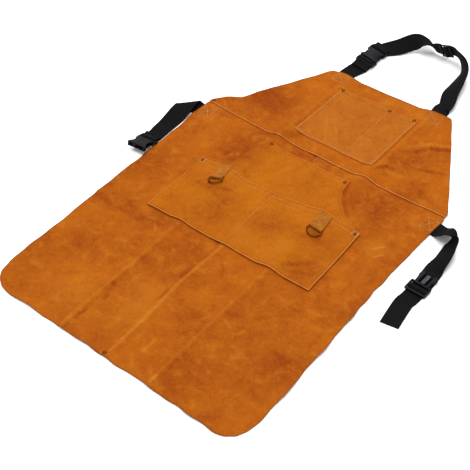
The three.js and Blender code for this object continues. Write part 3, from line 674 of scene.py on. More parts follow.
def webbing_finish(name, plain):
    """Black woven webbing: ribs across it, warps along it and a little lint."""
    finish = Finish(name, roughness=0.75, specular=0.05)
    split = finish.add("ShaderNodeSeparateXYZ")
    finish.feed(split.inputs[0], finish.cut_map())
    ribs = finish.waves(split.outputs["Y"], RIB_PITCH)
    warps = finish.waves(split.outputs["X"], WARP_PITCH)
    weave = finish.maths("MULTIPLY", ribs, warps)
    lint = finish.noise(420, detail=3, roughness=0.6)
    pale = finish.total(finish.span(weave, -1, 1, 0.0, 0.5), finish.span(lint, 0.5, 0.8, 0.0, 0.6))
    tone = finish.mix(pale, plain, toned(plain, 2.4))
    normal = finish.bump(finish.total(ribs, weave), distance=0.0003, strength=0.6)
    return finish.done(tone, finish.span(weave, -1, 1, 0.6, 0.85), normal)


def plastic_finish(name, plain):
    """Moulded plastic with a fine sparked surface and pale scuffs."""
    finish = Finish(name, roughness=0.4, specular=0.06)
    spark = finish.noise(1500, detail=2, roughness=0.6)
    scuff = finish.noise(70, detail=4, roughness=0.65)
    tone = finish.mix(finish.span(scuff, 0.45, 0.8), plain, toned(plain, 2.2))
    normal = finish.bump(spark, distance=0.0001, strength=0.3)
    return finish.done(tone, finish.span(scuff, 0.3, 0.7, 0.34, 0.52), normal)


def bronze_finish(name, plain):
    """Antiqued metal, darker where it has tarnished."""
    finish = Finish(name, roughness=0.45, specular=0.2, metallic=1.0)
    finish.shader.inputs["Specular Tint"].default_value = (0.8, 0.35, 0.1, 1.0)
    tarnish = finish.noise(330, detail=4, roughness=0.6)
    tone = finish.mix(finish.span(tarnish, 0.4, 0.7), plain, toned(plain, 0.3))
    normal = finish.bump(tarnish, distance=0.0002, strength=0.3)
    return finish.done(tone, finish.span(tarnish, 0.3, 0.7, 0.4, 0.6), normal)


def finishes(context):
    """All the materials, made once."""
    colours = context.scene.apron_colours
    makers = {
        "suede": (suede_finish, colours.suede, colours.raw_dark, MOTTLING["suede"], colours),
        "pocket_suede": (suede_finish, colours.pocket, colours.raw, MOTTLING["pocket"], colours),
        "chest_suede": (suede_finish, colours.chest, colours.raw, MOTTLING["chest"], colours),
        "tan_leather": (leather_finish, colours.tan),
        "pale_leather": (leather_finish, colours.pale),
        "thread": (thread_finish, colours.thread),
        "faint_thread": (thread_finish, colours.faint),
        "cream_thread": (thread_finish, colours.cream),
        "webbing": (webbing_finish, colours.webbing),
        "plastic": (plastic_finish, colours.plastic),
        "grip_plastic": (plastic_finish, colours.grip),
        "bronze": (bronze_finish, colours.bronze),
    }
    looks = {}
    for name, (make, *values) in makers.items():
        full_name = f"apron_{name}"
        looks[name] = bpy.data.materials.get(full_name) or make(full_name, *values)
    return looks


def row(point):
    """A plan point in millimetres, in the row frame in metres."""
    return Vector((point[0], point[1] - WAIST_Y, point[2])) * MM


def gather(*meshes):
    """Several bmeshes as one."""
    whole = bmesh.new()
    for mesh in meshes:
        part = bpy.data.meshes.new("part")
        mesh.to_mesh(part)
        mesh.free()
        whole.from_mesh(part)
        bpy.data.meshes.remove(part)
    return whole


def sharp_edges(bm, degrees):
    """The edges that turn by more than an angle."""
    least = math.radians(degrees)
    return [edge for edge in bm.edges if edge.is_manifold and edge.calc_face_angle() > least]


def round_edges(bm, edges, offset, segments=2):
    """Rounds the edges given."""
    bmesh.ops.bevel(
        bm, geom=edges, offset=offset, offset_type="OFFSET", segments=segments, profile=0.5,
        affect="EDGES", clamp_overlap=True, material=-1)


def link(name, data):
    """A new object at the origin."""
    made = bpy.data.objects.new(name, data)
    bpy.context.scene.collection.objects.link(made)
    return made


def axes_matrix(middle, x_axis, y_axis):
    """A frame at a place, by its first two axes."""
    turned = Matrix((x_axis, y_axis, x_axis.cross(y_axis))).transposed().to_4x4()
    return Matrix.Translation(middle) @ turned


def piece(name, bm, finish, nodes, body=BODY, sharp=None):
    """A finished piece: its object, its finish, the body it rides on and the CAD nodes it stands for."""
    bmesh.ops.recalc_face_normals(bm, faces=bm.faces[:])
    mesh = bpy.data.meshes.new(name)
    bm.to_mesh(mesh)
    bm.free()
    mesh.shade_smooth()
    if sharp:
        mesh.set_sharp_from_angle(angle=math.radians(sharp))
    mesh.materials.append(finish)
    made = link(name, mesh)
    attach(made, body)
    if nodes:
        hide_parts(*nodes)
    return made


def cut_sheet(columns, rows, flat, place, rim):
    """A closed sheet from a flat grid: place(u, v, upper) puts each point of its two faces in plan."""
    bm = bmesh.new()
    bmesh.ops.create_grid(bm, x_segments=columns, y_segments=rows, size=0.5)
    across = bm.verts.layers.float.new("across")
    along = bm.verts.layers.float.new("along")
    for vert in bm.verts:
        vert[across] = vert.co.x + 0.5
        vert[along] = vert.co.y + 0.5
    lower = set(bm.verts)
    bmesh.ops.extrude_face_region(bm, geom=bm.faces[:])
    upper = set(bm.verts) - lower
    for vert in bm.verts:
        vert.co = row(place(vert[across], vert[along], vert in upper))
    cut = bm.loops.layers.uv.new(CUT_MAP)
    raw = bm.faces.layers.float.new(RAW_EDGE)
    for face in bm.faces:
        sides = [vert in upper for vert in face.verts]
        face[raw] = 1.0 if any(sides) and not all(sides) else 0.0
        for loop in face.loops:
            loop[cut].uv = (loop.vert[across] * flat[0] * MM, loop.vert[along] * flat[1] * MM)
    for share in ("across", "along"):
        bm.verts.layers.float.remove(bm.verts.layers.float[share])
    raw = bm.faces.layers.float[RAW_EDGE]
    bmesh.ops.recalc_face_normals(bm, faces=bm.faces[:])
    corners = [edge for edge in bm.edges if len({face[raw] for face in edge.link_faces}) == 2]
    round_edges(bm, corners, rim)
    return bm


def along_side(points, count, wander):
    """A side of an outline as evenly spaced points, its kinks eased and its cut a little uneven."""
    spots = [Vector(point) for point in points]
    reach = path_lengths(spots)
    even = []
    k = 0
    for i in range(count + 1):
        s = reach[-1] * i / count
        while k < len(spots) - 2 and reach[k + 1] < s:
            k += 1
        even.append(spots[k].lerp(spots[k + 1], (s - reach[k]) / (reach[k + 1] - reach[k])))
    for _ in range(EASE_PASSES):
        even[1:-1] = [(a + 2 * b + c) / 4 for a, b, c in zip(even, even[1:], even[2:])]
    for i in range(1, count):
        way = (even[i + 1] - even[i - 1]).normalized()
        stray = wander * uneven(*even[i], WANDER_SPAN, WANDER_SEED)
        even[i] += stray * Vector((way.y, -way.x))
    return even


def panel_plan(panel, columns, rows):
    """The plan of a panel, by the shares across and along it between its four sides, and its area."""
    counts = {"bottom": columns, "top": columns, "left": rows, "right": rows}
    sides = (along_side(panel[side], count, panel["wander"]) for side, count in counts.items())
    bottom, top, left, right = sides

    def spot(u, v):
        i = round(u * columns)
        j = round(v * rows)
        ruled = bottom[i].lerp(top[i], v) + left[j].lerp(right[j], u)
        return ruled - bottom[0].lerp(bottom[-1], u).lerp(top[0].lerp(top[-1], u), v)

    outline = bottom + right[1:] + top[-2::-1] + left[-2:0:-1]
    area = 0.5 * abs(sum(a.x * b.y - b.x * a.y for a, b in zip(outline, outline[1:] + outline[:1])))
    return spot, area


def stain_and_shading_at(x, y):
    """How dark, or below zero how pale, the leather is at a plan point: its stains, and the painted shade,
    painted highlights and rubbed lines of the marks.
    """
    total = 0
    for stain_and_shading in STAINS:
        away = math.hypot((x - stain_and_shading["x"]) / stain_and_shading["wide"], (y - stain_and_shading["y"]) / stain_and_shading["tall"])
        total += stain_and_shading["amount"] * smooth(clamp(1 - away / STAIN_REACH, 0, 1))
    for mark in SHADING_AND_RUB_MARKS:
        away = off_line(mark, x, y)[0]
        total += mark["amount"] * smooth(clamp(1 - away / mark["half"], 0, 1))
    return clamp(total, -1, 1)


def painted_shadow_at(name, x, y):
    """A painted shadow: the dark line in a panel beside the rubbed sides of the panels that lie on it."""
    nearest = PAINTED_SHADOW_WIDTH
    for panel in PANELS.values():
        if name in panel["on"]:
            rubbed = [panel[side] for side, amount in panel["worn"].items() if amount > 0]
            for points in rubbed:
                for start, end in zip(points, points[1:]):
                    nearest = min(nearest, distance(x, y, *start, *end)[0])
    return PAINTED_SHADOW_AMOUNT * (1 - nearest / PAINTED_SHADOW_WIDTH)


def worn_at(sides, u, v, wide, tall):
    """How rubbed or, below zero, how dark the rim of a panel is, by its shares across and along."""
    away = {"left": u * wide, "right": (1 - u) * wide, "bottom": v * tall, "top": (1 - v) * tall}
    amounts = (amount * clamp(1 - away[side] / WEAR_WIDTH, 0, 1) for side, amount in sides.items())
    return max(amounts, key=abs, default=0)


def leather_name(node):
    """The name of the piece that stands for a leather node."""
    return f"{node}_leather"


def colour_panel(bm, name, wide, tall):
    """Notes how stained and how worn each point of a panel is, with the painted shade, highlights and shadow
    of the marks and laps, for its finish.
    """
    stain_and_shading = bm.verts.layers.float.new(STAIN_AND_SHADING)
    worn = bm.verts.layers.float.new(WORN)
    cut = bm.loops.layers.uv[CUT_MAP]
    for vert in bm.verts:
        x = vert.co.x / MM
        y = vert.co.y / MM + WAIST_Y
        u, v = vert.link_loops[0][cut].uv
        # Stains, with the painted shade and highlights of the marks and the painted shadow beside the panels
        # that lie on this one
        vert[stain_and_shading] = stain_and_shading_at(x, y) + painted_shadow_at(name, x, y)
        vert[worn] = worn_at(PANELS[name]["worn"], u / (wide * MM), v / (tall * MM), wide, tall)


class APRON_OT_leather(bpy.types.Operator):
    """Cuts the six leather panels and lays them over each other"""

    bl_idname = "apron.leather"
    bl_label = "Leather Panels"

    def execute(self, context):
        looks = finishes(context)
        rim = context.scene.apron_sizes.rim
        for name, panel in PANELS.items():
            corners = [point for side in ("bottom", "right", "top", "left") for point in panel[side]]
            wide = max(x for x, y in corners) - min(x for x, y in corners)
            tall = max(y for x, y in corners) - min(y for x, y in corners)
            columns = round(wide / PANEL_STEP)
            rows = round(tall / PANEL_STEP)
            spot, area = panel_plan(panel, columns, rows)

            def place(u, v, upper):
                x, y = spot(u, v)
                return x, y, panel["under"](x, y) + (LEATHER if upper else 0)

            bm = cut_sheet(columns, rows, (wide, tall), place, rim)
            colour_panel(bm, name, wide, tall)
            look = looks.get(panel.get("look"), looks[panel["slot"]])
            made = piece(leather_name(name), bm, look, [name], sharp=50)
        return {"FINISHED"}


def top_of(under):
    """The height of a layer's upper face, from that of its underside."""
    return lambda x, y: under(x, y) + LEATHER


# Rows of stitches: the layer they are on, the thread they are sewn with, and the points they run through
SEAMS = rows_of(
    "on thread path",
    (chest_under, "thread", ((-91, 886), (-91.5, 800), (-91.5, 719))),
    (chest_under, "thread", ((-91, 718.5), (99, 718.5))),
    (chest_under, "thread", ((98.5, 719), (97.5, 800), (96.5, 888))),
    (chest_under, "thread", ((33, 719), (33, 800), (32, 880))),
    (chest_under, "faint_thread", ((-88, 879), (96, 881))),
    (front_under, "faint_thread", ((-190, 521), (-75, 515), (0, 526.5), (130, 534), (192, 536))),
    (front_under, "thread", ((-190, 511), (-75, 505), (0, 516.5), (130, 524), (192, 526))),
    (front_under, "faint_thread", ((-190, 508), (-190.5, 430), (-191, 356))),
    (front_under, "faint_thread", ((-190, 355.5), (202, 360.5))),
    (front_under, "faint_thread", ((202, 361), (197.5, 440), (193, 524))),
    (front_under, "thread", ((-4, 512), (-4, 470), (-3, 430), (-1, 357))),
    (back_under, "faint_thread", ((-105, 645), (90, 645))),
    (back_under, "faint_thread",
     ((-104.5, 643), (-108, 606), (-115.5, 579), (-130, 558.5), (-152, 543.5), (-184, 531))),
    (back_under, "faint_thread", ((89.5, 643), (96, 614), (112, 585), (140.5, 560), (184, 539))),
    (bib_under, "faint_thread", ((-298, 684.5), (-150, 679.5), (150, 680.5), (299, 682.5))),
    (right_half, "thread", ((-3.5, 654), (-3.5, 672))),
)

# Crossed boxes at the sewn ends of the straps: the layer, the middle, the half sizes and the turn
CROSS_BOXES = rows_of(
    "on x y half_x half_y turn",
    (bib_under, -117, 915, 17, 14, -3),
    (bib_under, 124, 919, 15, 13, 2),
    (base, -284, 649, 13.5, 16.5, 3),
    (right_half, 289, 644, 13, 16, -2),
)

# How far a stitch strays from its line, in millimetres, and how proud it is, as a share of the thread
STITCH = {"stray": 0.25, "seed": 5.5, "proud": 0.35, "sides": 6, "rings": 4}


def stitches(path, under, sizes, thread):
    """A row of stitches along a path on a layer of leather."""
    bm = bmesh.new()
    top = top_of(under)
    pitch = sizes.pitch / MM
    half = sizes.stitch / MM / 2
    thick = thread / MM / 2
    for start, end in zip(path, path[1:]):
        run = Vector(end) - Vector(start)
        count = max(1, round(run.length / pitch))
        way = run.normalized()
        for i in range(count):
            spot = Vector(start) + run * ((i + 0.5) / count)
            spot += STITCH["stray"] * uneven(spot.x, spot.y, 1, STITCH["seed"]) * Vector((-way.y, way.x))
            back = spot - way * half
            fore = spot + way * half
            tail = Vector((back.x, back.y, top(back.x, back.y)))
            head = Vector((fore.x, fore.y, top(fore.x, fore.y)))
            along = (head - tail) / 2
            side = Vector((-way.y, way.x, 0)) * thick
            up = along.cross(side).normalized() * -thick
            turned = Matrix((side, up, along)).transposed().to_4x4()
            middle = (head + tail) / 2 + Vector((0, 0, STITCH["proud"] * thick))
            lay = Matrix.Translation(row(middle)) @ Matrix.Scale(MM, 4) @ turned
            bmesh.ops.create_uvsphere(
                bm, u_segments=STITCH["sides"], v_segments=STITCH["rings"], radius=1, matrix=lay)
    return bm


class APRON_OT_stitching(bpy.types.Operator):
    """Sews the seams, the pockets and the crossed boxes at the strap ends"""

    bl_idname = "apron.stitching"
    bl_label = "Stitching"

    def execute(self, context):
        looks = finishes(context)
        sizes = context.scene.apron_sizes
        threads = (
            ("thread", "seam_stitches", sizes.thread),
            ("faint_thread", "faint_stitches", sizes.fine_thread),
        )
        for look, name, thread in threads:
            seams = [seam for seam in SEAMS if seam["thread"] == look]
            sewn = [stitches(seam["path"], seam["on"], sizes, thread) for seam in seams]
            piece(name, gather(*sewn), looks[look], [])
        boxes = []
        for box in CROSS_BOXES:
            turn = Matrix.Rotation(math.radians(box["turn"]), 2)
            middle = Vector((box["x"], box["y"]))
            a, b, c, d = (
                middle + turn @ Vector((sx * box["half_x"], sy * box["half_y"]))
                for sx, sy in ((-1, -1), (1, -1), (1, 1), (-1, 1)))
            for path in ((a, b, c, d, a), (a, c), (b, d)):
                boxes.append(stitches(path, box["on"], sizes, sizes.thread))
        piece("box_stitches", gather(*boxes), looks["cream_thread"], [])
        return {"FINISHED"}


# Capped rivets with a dished middle: the layer each sits on, and the pale patch under two of them
RIVETS = rows_of(
    "node x y on patch",
    ("rivet_chest_left", -89, 885, chest_under, None),
    ("rivet_chest_middle", 32, 887, chest_under, None),
    ("rivet_chest_right", 94, 890, chest_under, None),
    ("rivet_pocket_left", -103, 644, back_under, None),
    ("rivet_pocket_right", 87, 643, back_under, None),
    ("rivet_mouth_left", -188.5, 519, front_under, "rivet_patch_left"),
    ("rivet_mouth_right", 190, 529, front_under, "rivet_patch_right"),
    ("rivet_hem", 2, 11, right_half, None),
    ("rivet_waist_left", -297, 687, bib_under, None),
)
# Half the section of a cap, as radius and height
RIVET_SECTION = (
    (0, 0.95), (1.3, 0.95), (1.75, 1.1), (2.15, 1.55), (2.5, 1.72), (3.1, 1.68), (3.6, 1.45), (3.95, 1.05),
    (4.15, 0.6), (4.2, 0.1), (4.1, -0.25), (0, -0.25),
)
RIVET = {"reach": 4.2, "clear": 0.1, "steps": 28, "merge": 0.001}
PATCH = {
    "across": 11, "along": 13, "thick": 0.9, "rim": 0.15, "columns": 8, "rows": 10,
    "ragged": 0.05, "ragged_span": 1 / 3, "seed": 0.4,
}


def seat(under, x, y, half):
    """A frame that sits on a layer of leather and leans with it."""
    top = top_of(under)
    lean_x = (top(x + half, y) - top(x - half, y)) / (2 * half)
    lean_y = (top(x, y + half) - top(x, y - half)) / (2 * half)
    up = Vector((-lean_x, -lean_y, 1)).normalized()
    steps = (-half, 0, half)
    height = max(top(x + dx, y + dy) - lean_x * dx - lean_y * dy for dx in steps for dy in steps)
    turned = up.to_track_quat("Z", "Y").to_matrix().to_4x4()
    return Matrix.Translation((x, y, height)) @ turned


def to_row(bm, place):
    """Moves a bmesh made in millimetres to its place in plan, then to the row frame."""
    shift = Matrix.Translation((0, -WAIST_Y * MM, 0)) @ Matrix.Scale(MM, 4)
    bmesh.ops.transform(bm, matrix=shift @ place, verts=bm.verts[:])
    return bm


def rivet_cap():
    """A cap about the z axis, in millimetres."""
    bm = bmesh.new()
    ring = [bm.verts.new((r, 0, z)) for r, z in RIVET_SECTION]
    edges = [bm.edges.new(pair) for pair in zip(ring, ring[1:])]
    bmesh.ops.spin(
        bm, geom=ring + edges, cent=(0, 0, 0), axis=(0, 0, 1), angle=2 * math.pi, steps=RIVET["steps"],
        use_merge=True)
    bmesh.ops.remove_doubles(bm, verts=bm.verts[:], dist=RIVET["merge"])
    return bm


def rivet_patch():
    """A pale patch with a ragged edge, in millimetres."""
    def place(u, v, upper):
        x = (u - 0.5) * PATCH["across"]
        y = (v - 0.5) * PATCH["along"]
        ragged = 1 + PATCH["ragged"] * uneven(x, y, PATCH["ragged_span"], PATCH["seed"])
        return x * ragged, y * ragged + WAIST_Y, PATCH["thick"] if upper else 0.0

    flat = (PATCH["across"], PATCH["along"])
    bm = cut_sheet(PATCH["columns"], PATCH["rows"], flat, place, PATCH["rim"] * MM)
    bmesh.ops.transform(bm, matrix=Matrix.Scale(1 / MM, 4), verts=bm.verts[:])
    return bm


class APRON_OT_rivets(bpy.types.Operator):
    """Sets the nine capped rivets and the two patches under them"""

    bl_idname = "apron.rivets"
    bl_label = "Rivets"

    def execute(self, context):
        looks = finishes(context)
        caps = []
        patches = []
        for rivet in RIVETS:
            half = PATCH["along"] / 2 if rivet["patch"] else RIVET["reach"]
            place = seat(rivet["on"], rivet["x"], rivet["y"], half)
            lift = RIVET["clear"]
            if rivet["patch"]:
                patches.append(to_row(rivet_patch(), place))
                lift += PATCH["thick"]
            caps.append(to_row(rivet_cap(), place @ Matrix.Translation((0, 0, lift))))
        nodes = [rivet["node"] for rivet in RIVETS]
        piece("rivet_caps", gather(*caps), looks["bronze"], nodes, sharp=60)
        under = [rivet["patch"] for rivet in RIVETS if rivet["patch"]]
        piece("rivet_patches", gather(*patches), looks["pale_leather"], under, sharp=50)
        return {"FINISHED"}


# The rings, and the tabs folded round their bars: where a tab's plies run, and where it lies flat
RING = {
    "half": 16, "corner": 2.5, "depth": 21, "wire": 1.7, "sides": 14,
    "bar_steps": 8, "bow_steps": 40, "ease": 5,
}
TAB = {
    "width": 27, "flat": 44, "bore": 2.4, "outer": 3.8, "clear": 0.15, "rim": 0.25,
    "columns": 12, "rows": 60, "lower": (20, 8, 2), "wrap": 1.28 * math.pi, "wrap_steps": 12,
    "ply_gap": 0.1, "pinch": (9.5, 0.3), "upper": (14, 20), "stiff_to": 6, "laid_from": 22,
}


def hinge_frame(side):
    """The middle of a ring's bar and the way it runs, from its joint, in the row frame."""
    joint = next(j for j in frame["joints"] if j["child"] == f"ring_{side}")
    along = -Vector(joint["axis"]).normalized()
    middle = Vector(joint["pos_m"])
    return middle, along


def square_to(vector, axis):
    """The part of a vector that is square to an axis."""
    return vector - axis * vector.dot(axis)


def ring_matrix(side):
    """Places a ring: its bar on the joint, its bow where the CAD ring has it."""
    middle, along = hinge_frame(side)
    spots = [vert.co for vert in frame["nodes"][f"d_ring_{side}"].data.vertices]
    bow = square_to(sum(spots, Vector()) / len(spots) - middle, along).normalized()
    return axes_matrix(middle, along, -bow) @ Matrix.Scale(MM, 4)


def tab_matrix(side):
    """Places a tab: its loop on the joint, its toe where the CAD tab has it."""
    middle, along = hinge_frame(side)
    corners = frame["nodes"][f"d_ring_tab_{side}"].data.vertices
    spots = [square_to(vert.co - middle, along) for vert in corners]
    toe = max(spots, key=lambda spot: spot.length).normalized()
    lay = Matrix.Rotation(math.atan2(TAB["outer"], TAB["flat"]), 3, along) @ toe
    return axes_matrix(middle, along, lay) @ Matrix.Scale(MM, 4)


def tube(points, radius, sides):
    """A closed wire through points of the x-y plane."""
    bm = bmesh.new()
    count = len(points)
    up = Vector((0, 0, 1))
    rings = []
    for i, point in enumerate(points):
        way = (points[(i + 1) % count] - points[i - 1]).normalized()
        turned = Matrix((up, way.cross(up), way)).transposed().to_4x4()
        made = bmesh.ops.create_circle(
            bm, cap_ends=False, segments=sides, radius=radius, matrix=Matrix.Translation(point) @ turned)
        rings.append({edge for vert in made["verts"] for edge in vert.link_edges})
    for i in range(count):
        bmesh.ops.bridge_loops(bm, edges=list(rings[i - 1] | rings[i]))
    return bm


def ring_points():
    """The middle line of a D-shaped ring, with its bar along x."""
    bar = RING["half"] - RING["corner"]
    bow = RING["depth"] - RING["corner"]
    points = [Vector((bar * (1 - 2 * i / RING["bar_steps"]), 0, 0)) for i in range(RING["bar_steps"] + 1)]
    steps = RING["bow_steps"]
    for i in range(1, steps):
        angle = math.pi + math.pi * i / steps
        ease = smooth(ramp(min(i, steps - i), 0, RING["ease"]))
        x = (bar + (RING["half"] - bar) * ease) * math.cos(angle)
        points.append(Vector((x, -RING["corner"] * ease + bow * math.sin(angle), 0)))
    return points


def path_frame(points, reach, share):
    """A point of a path in the y-z plane, and the normal to its left."""
    s = clamp(share, 0, 1) * reach[-1]
    k = max(i for i in range(len(points) - 1) if reach[i] <= s + 1e-9)
    t = (s - reach[k]) / (reach[k + 1] - reach[k])
    before = (points[k + 1] - points[max(k - 1, 0)]).normalized()
    after = (points[min(k + 2, len(points) - 1)] - points[k]).normalized()
    way = before.lerp(after, t).normalized()
    return points[k].lerp(points[k + 1], t), Vector((-way.y, way.x))


def eased(points, passes=2):
    """A path with its corners cut."""
    for _ in range(passes):
        cut = [points[0]]
        for before, after in zip(points, points[1:]):
            cut += [before.lerp(after, 0.25), before.lerp(after, 0.75)]
        points = cut + [points[-1]]
    return points


def round_bar(radius, turn, steps):
    """The stretch of a path in the y-z plane that goes round a bar at the origin, from below it."""
    angles = (-math.pi / 2 - turn * i / steps for i in range(steps + 1))
    return [radius * Vector((math.cos(angle), math.sin(angle))) for angle in angles]


def looped_strip(points, width, thick, rim, columns, rows):
    """A strip of webbing or leather along a path in the y-z plane, in millimetres, and its length."""
    reach = path_lengths(points)

    def place(u, v, upper):
        spot, normal = path_frame(points, reach, v)
        spot = spot + normal * ((0.5 if upper else -0.5) * thick)
        return (u - 0.5) * width, spot.x + WAIST_Y, spot.y

    bm = cut_sheet(columns, rows, (width, reach[-1]), place, rim)
    bmesh.ops.transform(bm, matrix=Matrix.Scale(1 / MM, 4), verts=bm.verts[:])
    return bm, reach[-1]


def tab_path():
    """The path of a leather tab: along its lower ply, round the bar and back along its upper ply."""
    ply = TAB["outer"] - TAB["bore"]
    middle = TAB["outer"] - ply / 2
    low = -TAB["outer"] + ply / 2
    high = low + ply + TAB["ply_gap"]
    pinch, proud = TAB["pinch"]
    points = [Vector((y, low)) for y in (TAB["flat"], *TAB["lower"])]
    points += round_bar(middle, TAB["wrap"], TAB["wrap_steps"])
    points.append(Vector((pinch, high + proud)))
    points += [Vector((y, high)) for y in (*TAB["upper"], TAB["flat"])]
    return eased(points)


def drape(tab, place, top):
    """Puts a tab in its place and lets its flat part follow the leather under it."""
    for vert in tab.verts:
        foot = place @ Vector((vert.co.x, vert.co.y, -TAB["outer"]))
        sink = (top(foot.x / MM, foot.y / MM + WAIST_Y) + TAB["clear"]) * MM - foot.z
        share = smooth(ramp(vert.co.y, TAB["stiff_to"], TAB["laid_from"]))
        vert.co = place @ vert.co + Vector((0, 0, share * sink))


class APRON_OT_rings(bpy.types.Operator):
    """Makes the two rings and the leather tabs that hold them"""

    bl_idname = "apron.rings"
    bl_label = "Rings and Tabs"

    def execute(self, context):
        looks = finishes(context)
        top = top_of(front_under)
        for side in ("left", "right"):
            ring = f"ring_{side}"
            wire = tube(ring_points(), RING["wire"], RING["sides"])
            bmesh.ops.transform(wire, matrix=ring_matrix(side), verts=wire.verts[:])
            piece(f"{ring}_wire", wire, looks["bronze"], [f"d_{ring}"], body=ring)
            tab, length = looped_strip(
                tab_path(), TAB["width"], LEATHER, TAB["rim"] * MM, TAB["columns"], TAB["rows"])
            drape(tab, tab_matrix(side), top)
            look = looks["tan_leather"]
            made = piece(f"ring_tab_{side}", tab, look, [f"d_ring_tab_{side}"], sharp=50)
        return {"FINISHED"}


# How webbing climbs over a middle bar, by the distance from that bar
WEAVE = rows_of("away lift", (0, 7.6), (2.4, 7.6), (9.6, 0), (1000, 0))

# Routes of the straps: each row is a place in plan, a height, and the roll of the band in degrees
NECK_LEFT = (
    (-120, 906, 1.2, 0), (-119, 942, 1.2, 0), (-114, 960, 4, -5), (-108, 978, 5, -10),
)
NECK_RIGHT = (
    (-105, 1058, 5, -10), (-75, 1084, 12, -30), (-50, 1110, 22, -40), (-32, 1120, 22, -5),
    (-5, 1120, 21, 55), (12, 1122, 23, 70), (42, 1125, 29, 65), (60, 1121, 26, 70),
    (85, 1102, 21, 100), (97, 1078, 17, 130), (104, 1042, 14, 150), (109, 1010, 12, 165),
    (120, 978, 8, 160), (118, 962, 3, 180), (119, 942, 1, 180), (120, 906, 1, 180),
)
WAIST_RIGHT = (
    (270, 645, 1, 0), (303, 643, 1, 0), (318, 640, 3, 0), (334, 634, 17, 0), (347, 628, 20, 35),
    (355, 622, 16, 125), (360, 598, 12, 145), (364, 572, 11, 155), (363, 551, 5, 170), (364, 536, 2, 180),
    (366, 505, 1, 180), (365, 460, 1, 180), (363, 440, 1, 180), (368, 404, 1, 180), (372, 379, 1, 180),
)

# How far along its strap the middle bar of the slider and of the prong half is
SLIDER_AT = 158
MALE_AT = 237

# The left waist strap: how it starts, its one fold, and how it lies by the distance along it
WAIST_LEFT = {
    "start": (-270, 649), "heading": 180, "before": 53, "turn": -90, "radius": 6.5, "fall": 48,
    "length": 211, "lay": rows_of(
        "along shift lift lean",
        (0, 0, 1, 0), (40, 0, 1, 0), (80, 7, 1, -1), (120, 10, 1, -3), (170, 11, 1, -3), (193, 12, 1.1, 0),
        (211, 12, 1.1, 0)),
}

# The doubled end of a strap: where its plies run, from the bar of its buckle
LOOP = {
    "reach": 20, "inner": 3.7, "lower": (10, 3), "top": 2, "pinch": (10, 0.5), "upper": 12, "wrap_steps": 10,
    "rows": 40,
}
WEB_COLUMNS = 12


def weave(s, middle):
    """How high a strap climbs at a distance along it, where it has a bar to climb over."""
    return 0 if middle is None else ease_table(WEAVE, "away", abs(s - middle), "lift")


def curve_through(rows, t):
    """The smooth curve through a table's rows, at a share t of its spans."""
    spans = len(rows) - 1
    k = min(int(t * spans), spans - 1)
    w = t * spans - k
    b, c = rows[k], rows[k + 1]
    a = rows[k - 1] if k > 0 else [2 * p - q for p, q in zip(b, c)]
    d = rows[k + 2] if k + 2 <= spans else [2 * q - p for p, q in zip(b, c)]
    return [
        q + 0.5 * w * (r - p + w * (2 * p - 5 * q + 4 * r - z + w * (3 * (q - r) + z - p)))
        for p, q, r, z in zip(a, b, c, d)]


class Route:
    """A strap along rows of places and rolls, by the distance along it."""

    DIVISIONS = 600
    STEP = 0.0001

    def __init__(self, rows, woven_at=None):
        self.rows = rows
        self.woven_at = woven_at
        spots = [Vector(curve_through(rows, i / self.DIVISIONS)[:3]) for i in range(self.DIVISIONS + 1)]
        self.reach = path_lengths(spots)
        self.length = self.reach[-1]

    def share(self, s):
        """The share of the rows' spans that a distance is at."""
        low, high = 0, self.DIVISIONS
        while high - low > 1:
            middle = (low + high) // 2
            low, high = (middle, high) if self.reach[middle] <= s else (low, middle)
        return (low + (s - self.reach[low]) / (self.reach[high] - self.reach[low])) / self.DIVISIONS

    def frame(self, s):
        """The middle of the strap, the way it runs, the way across it and its normal."""
        t = self.share(clamp(s, 0, self.length))
        x, y, z, roll = curve_through(self.rows, t)
        ahead = Vector(curve_through(self.rows, min(1, t + self.STEP))[:3])
        behind = Vector(curve_through(self.rows, max(0, t - self.STEP))[:3])
        tangent = (ahead - behind).normalized()
        level = tangent.cross(Vector((0, 0, 1))).normalized()
        upward = level.cross(tangent)
        angle = math.radians(roll)
        side = level * math.cos(angle) + upward * math.sin(angle)
        return Vector((x, y, z)), tangent, side, side.cross(tangent)

    def at(self, s, t):
        """A point of the strap, by the distances along and across it."""
        middle, tangent, side, normal = self.frame(s)
        past = s - clamp(s, 0, self.length)
        return middle + side * t + tangent * past - normal * weave(s, self.woven_at)


def folded(strap):
    """The points of a strap sewn under the skirt, laid outwards, folded once and laid along the side."""
    angle = math.radians(strap["heading"])
    out = Vector((math.cos(angle), math.sin(angle)))
    left = Vector((-out.y, out.x))
    half = math.radians(abs(strap["turn"]) / 2)
    hand = math.copysign(1, strap["turn"])
    crease = out * math.cos(half) - left * (hand * math.sin(half))
    across = out * math.sin(half) + left * (hand * math.cos(half))
    radius, lay = strap["radius"], strap["lay"]

    def shift_at(s):
        return ease_table(lay, "along", s, "shift")

    def at(s, t):
        slope = shift_at(s + 0.5) - shift_at(s - 0.5)
        flat = out * (s - t * slope - strap["before"]) - left * t
        u = flat.dot(across)
        arc = clamp(u / radius, 0, math.pi)
        back = max(0, u - math.pi * radius)
        reach = min(u, 0) + radius * math.sin(arc) - back
        height = radius * (1 - math.cos(arc)) * (1 - smooth(clamp(back / strap["fall"], 0, 1)))
        spot = out * strap["before"] + across * reach + crease * flat.dot(crease)
        lean = ease_table(lay, "along", s, "lean")
        edge = 0.5 + t / WEB_WIDTH if lean > 0 else 0.5 - t / WEB_WIDTH
        lift = ease_table(lay, "along", s, "lift") + abs(lean) * edge
        start_x, start_y = strap["start"]
        return Vector((start_x + spot.x + shift_at(s), start_y + spot.y, height + lift))

    return at


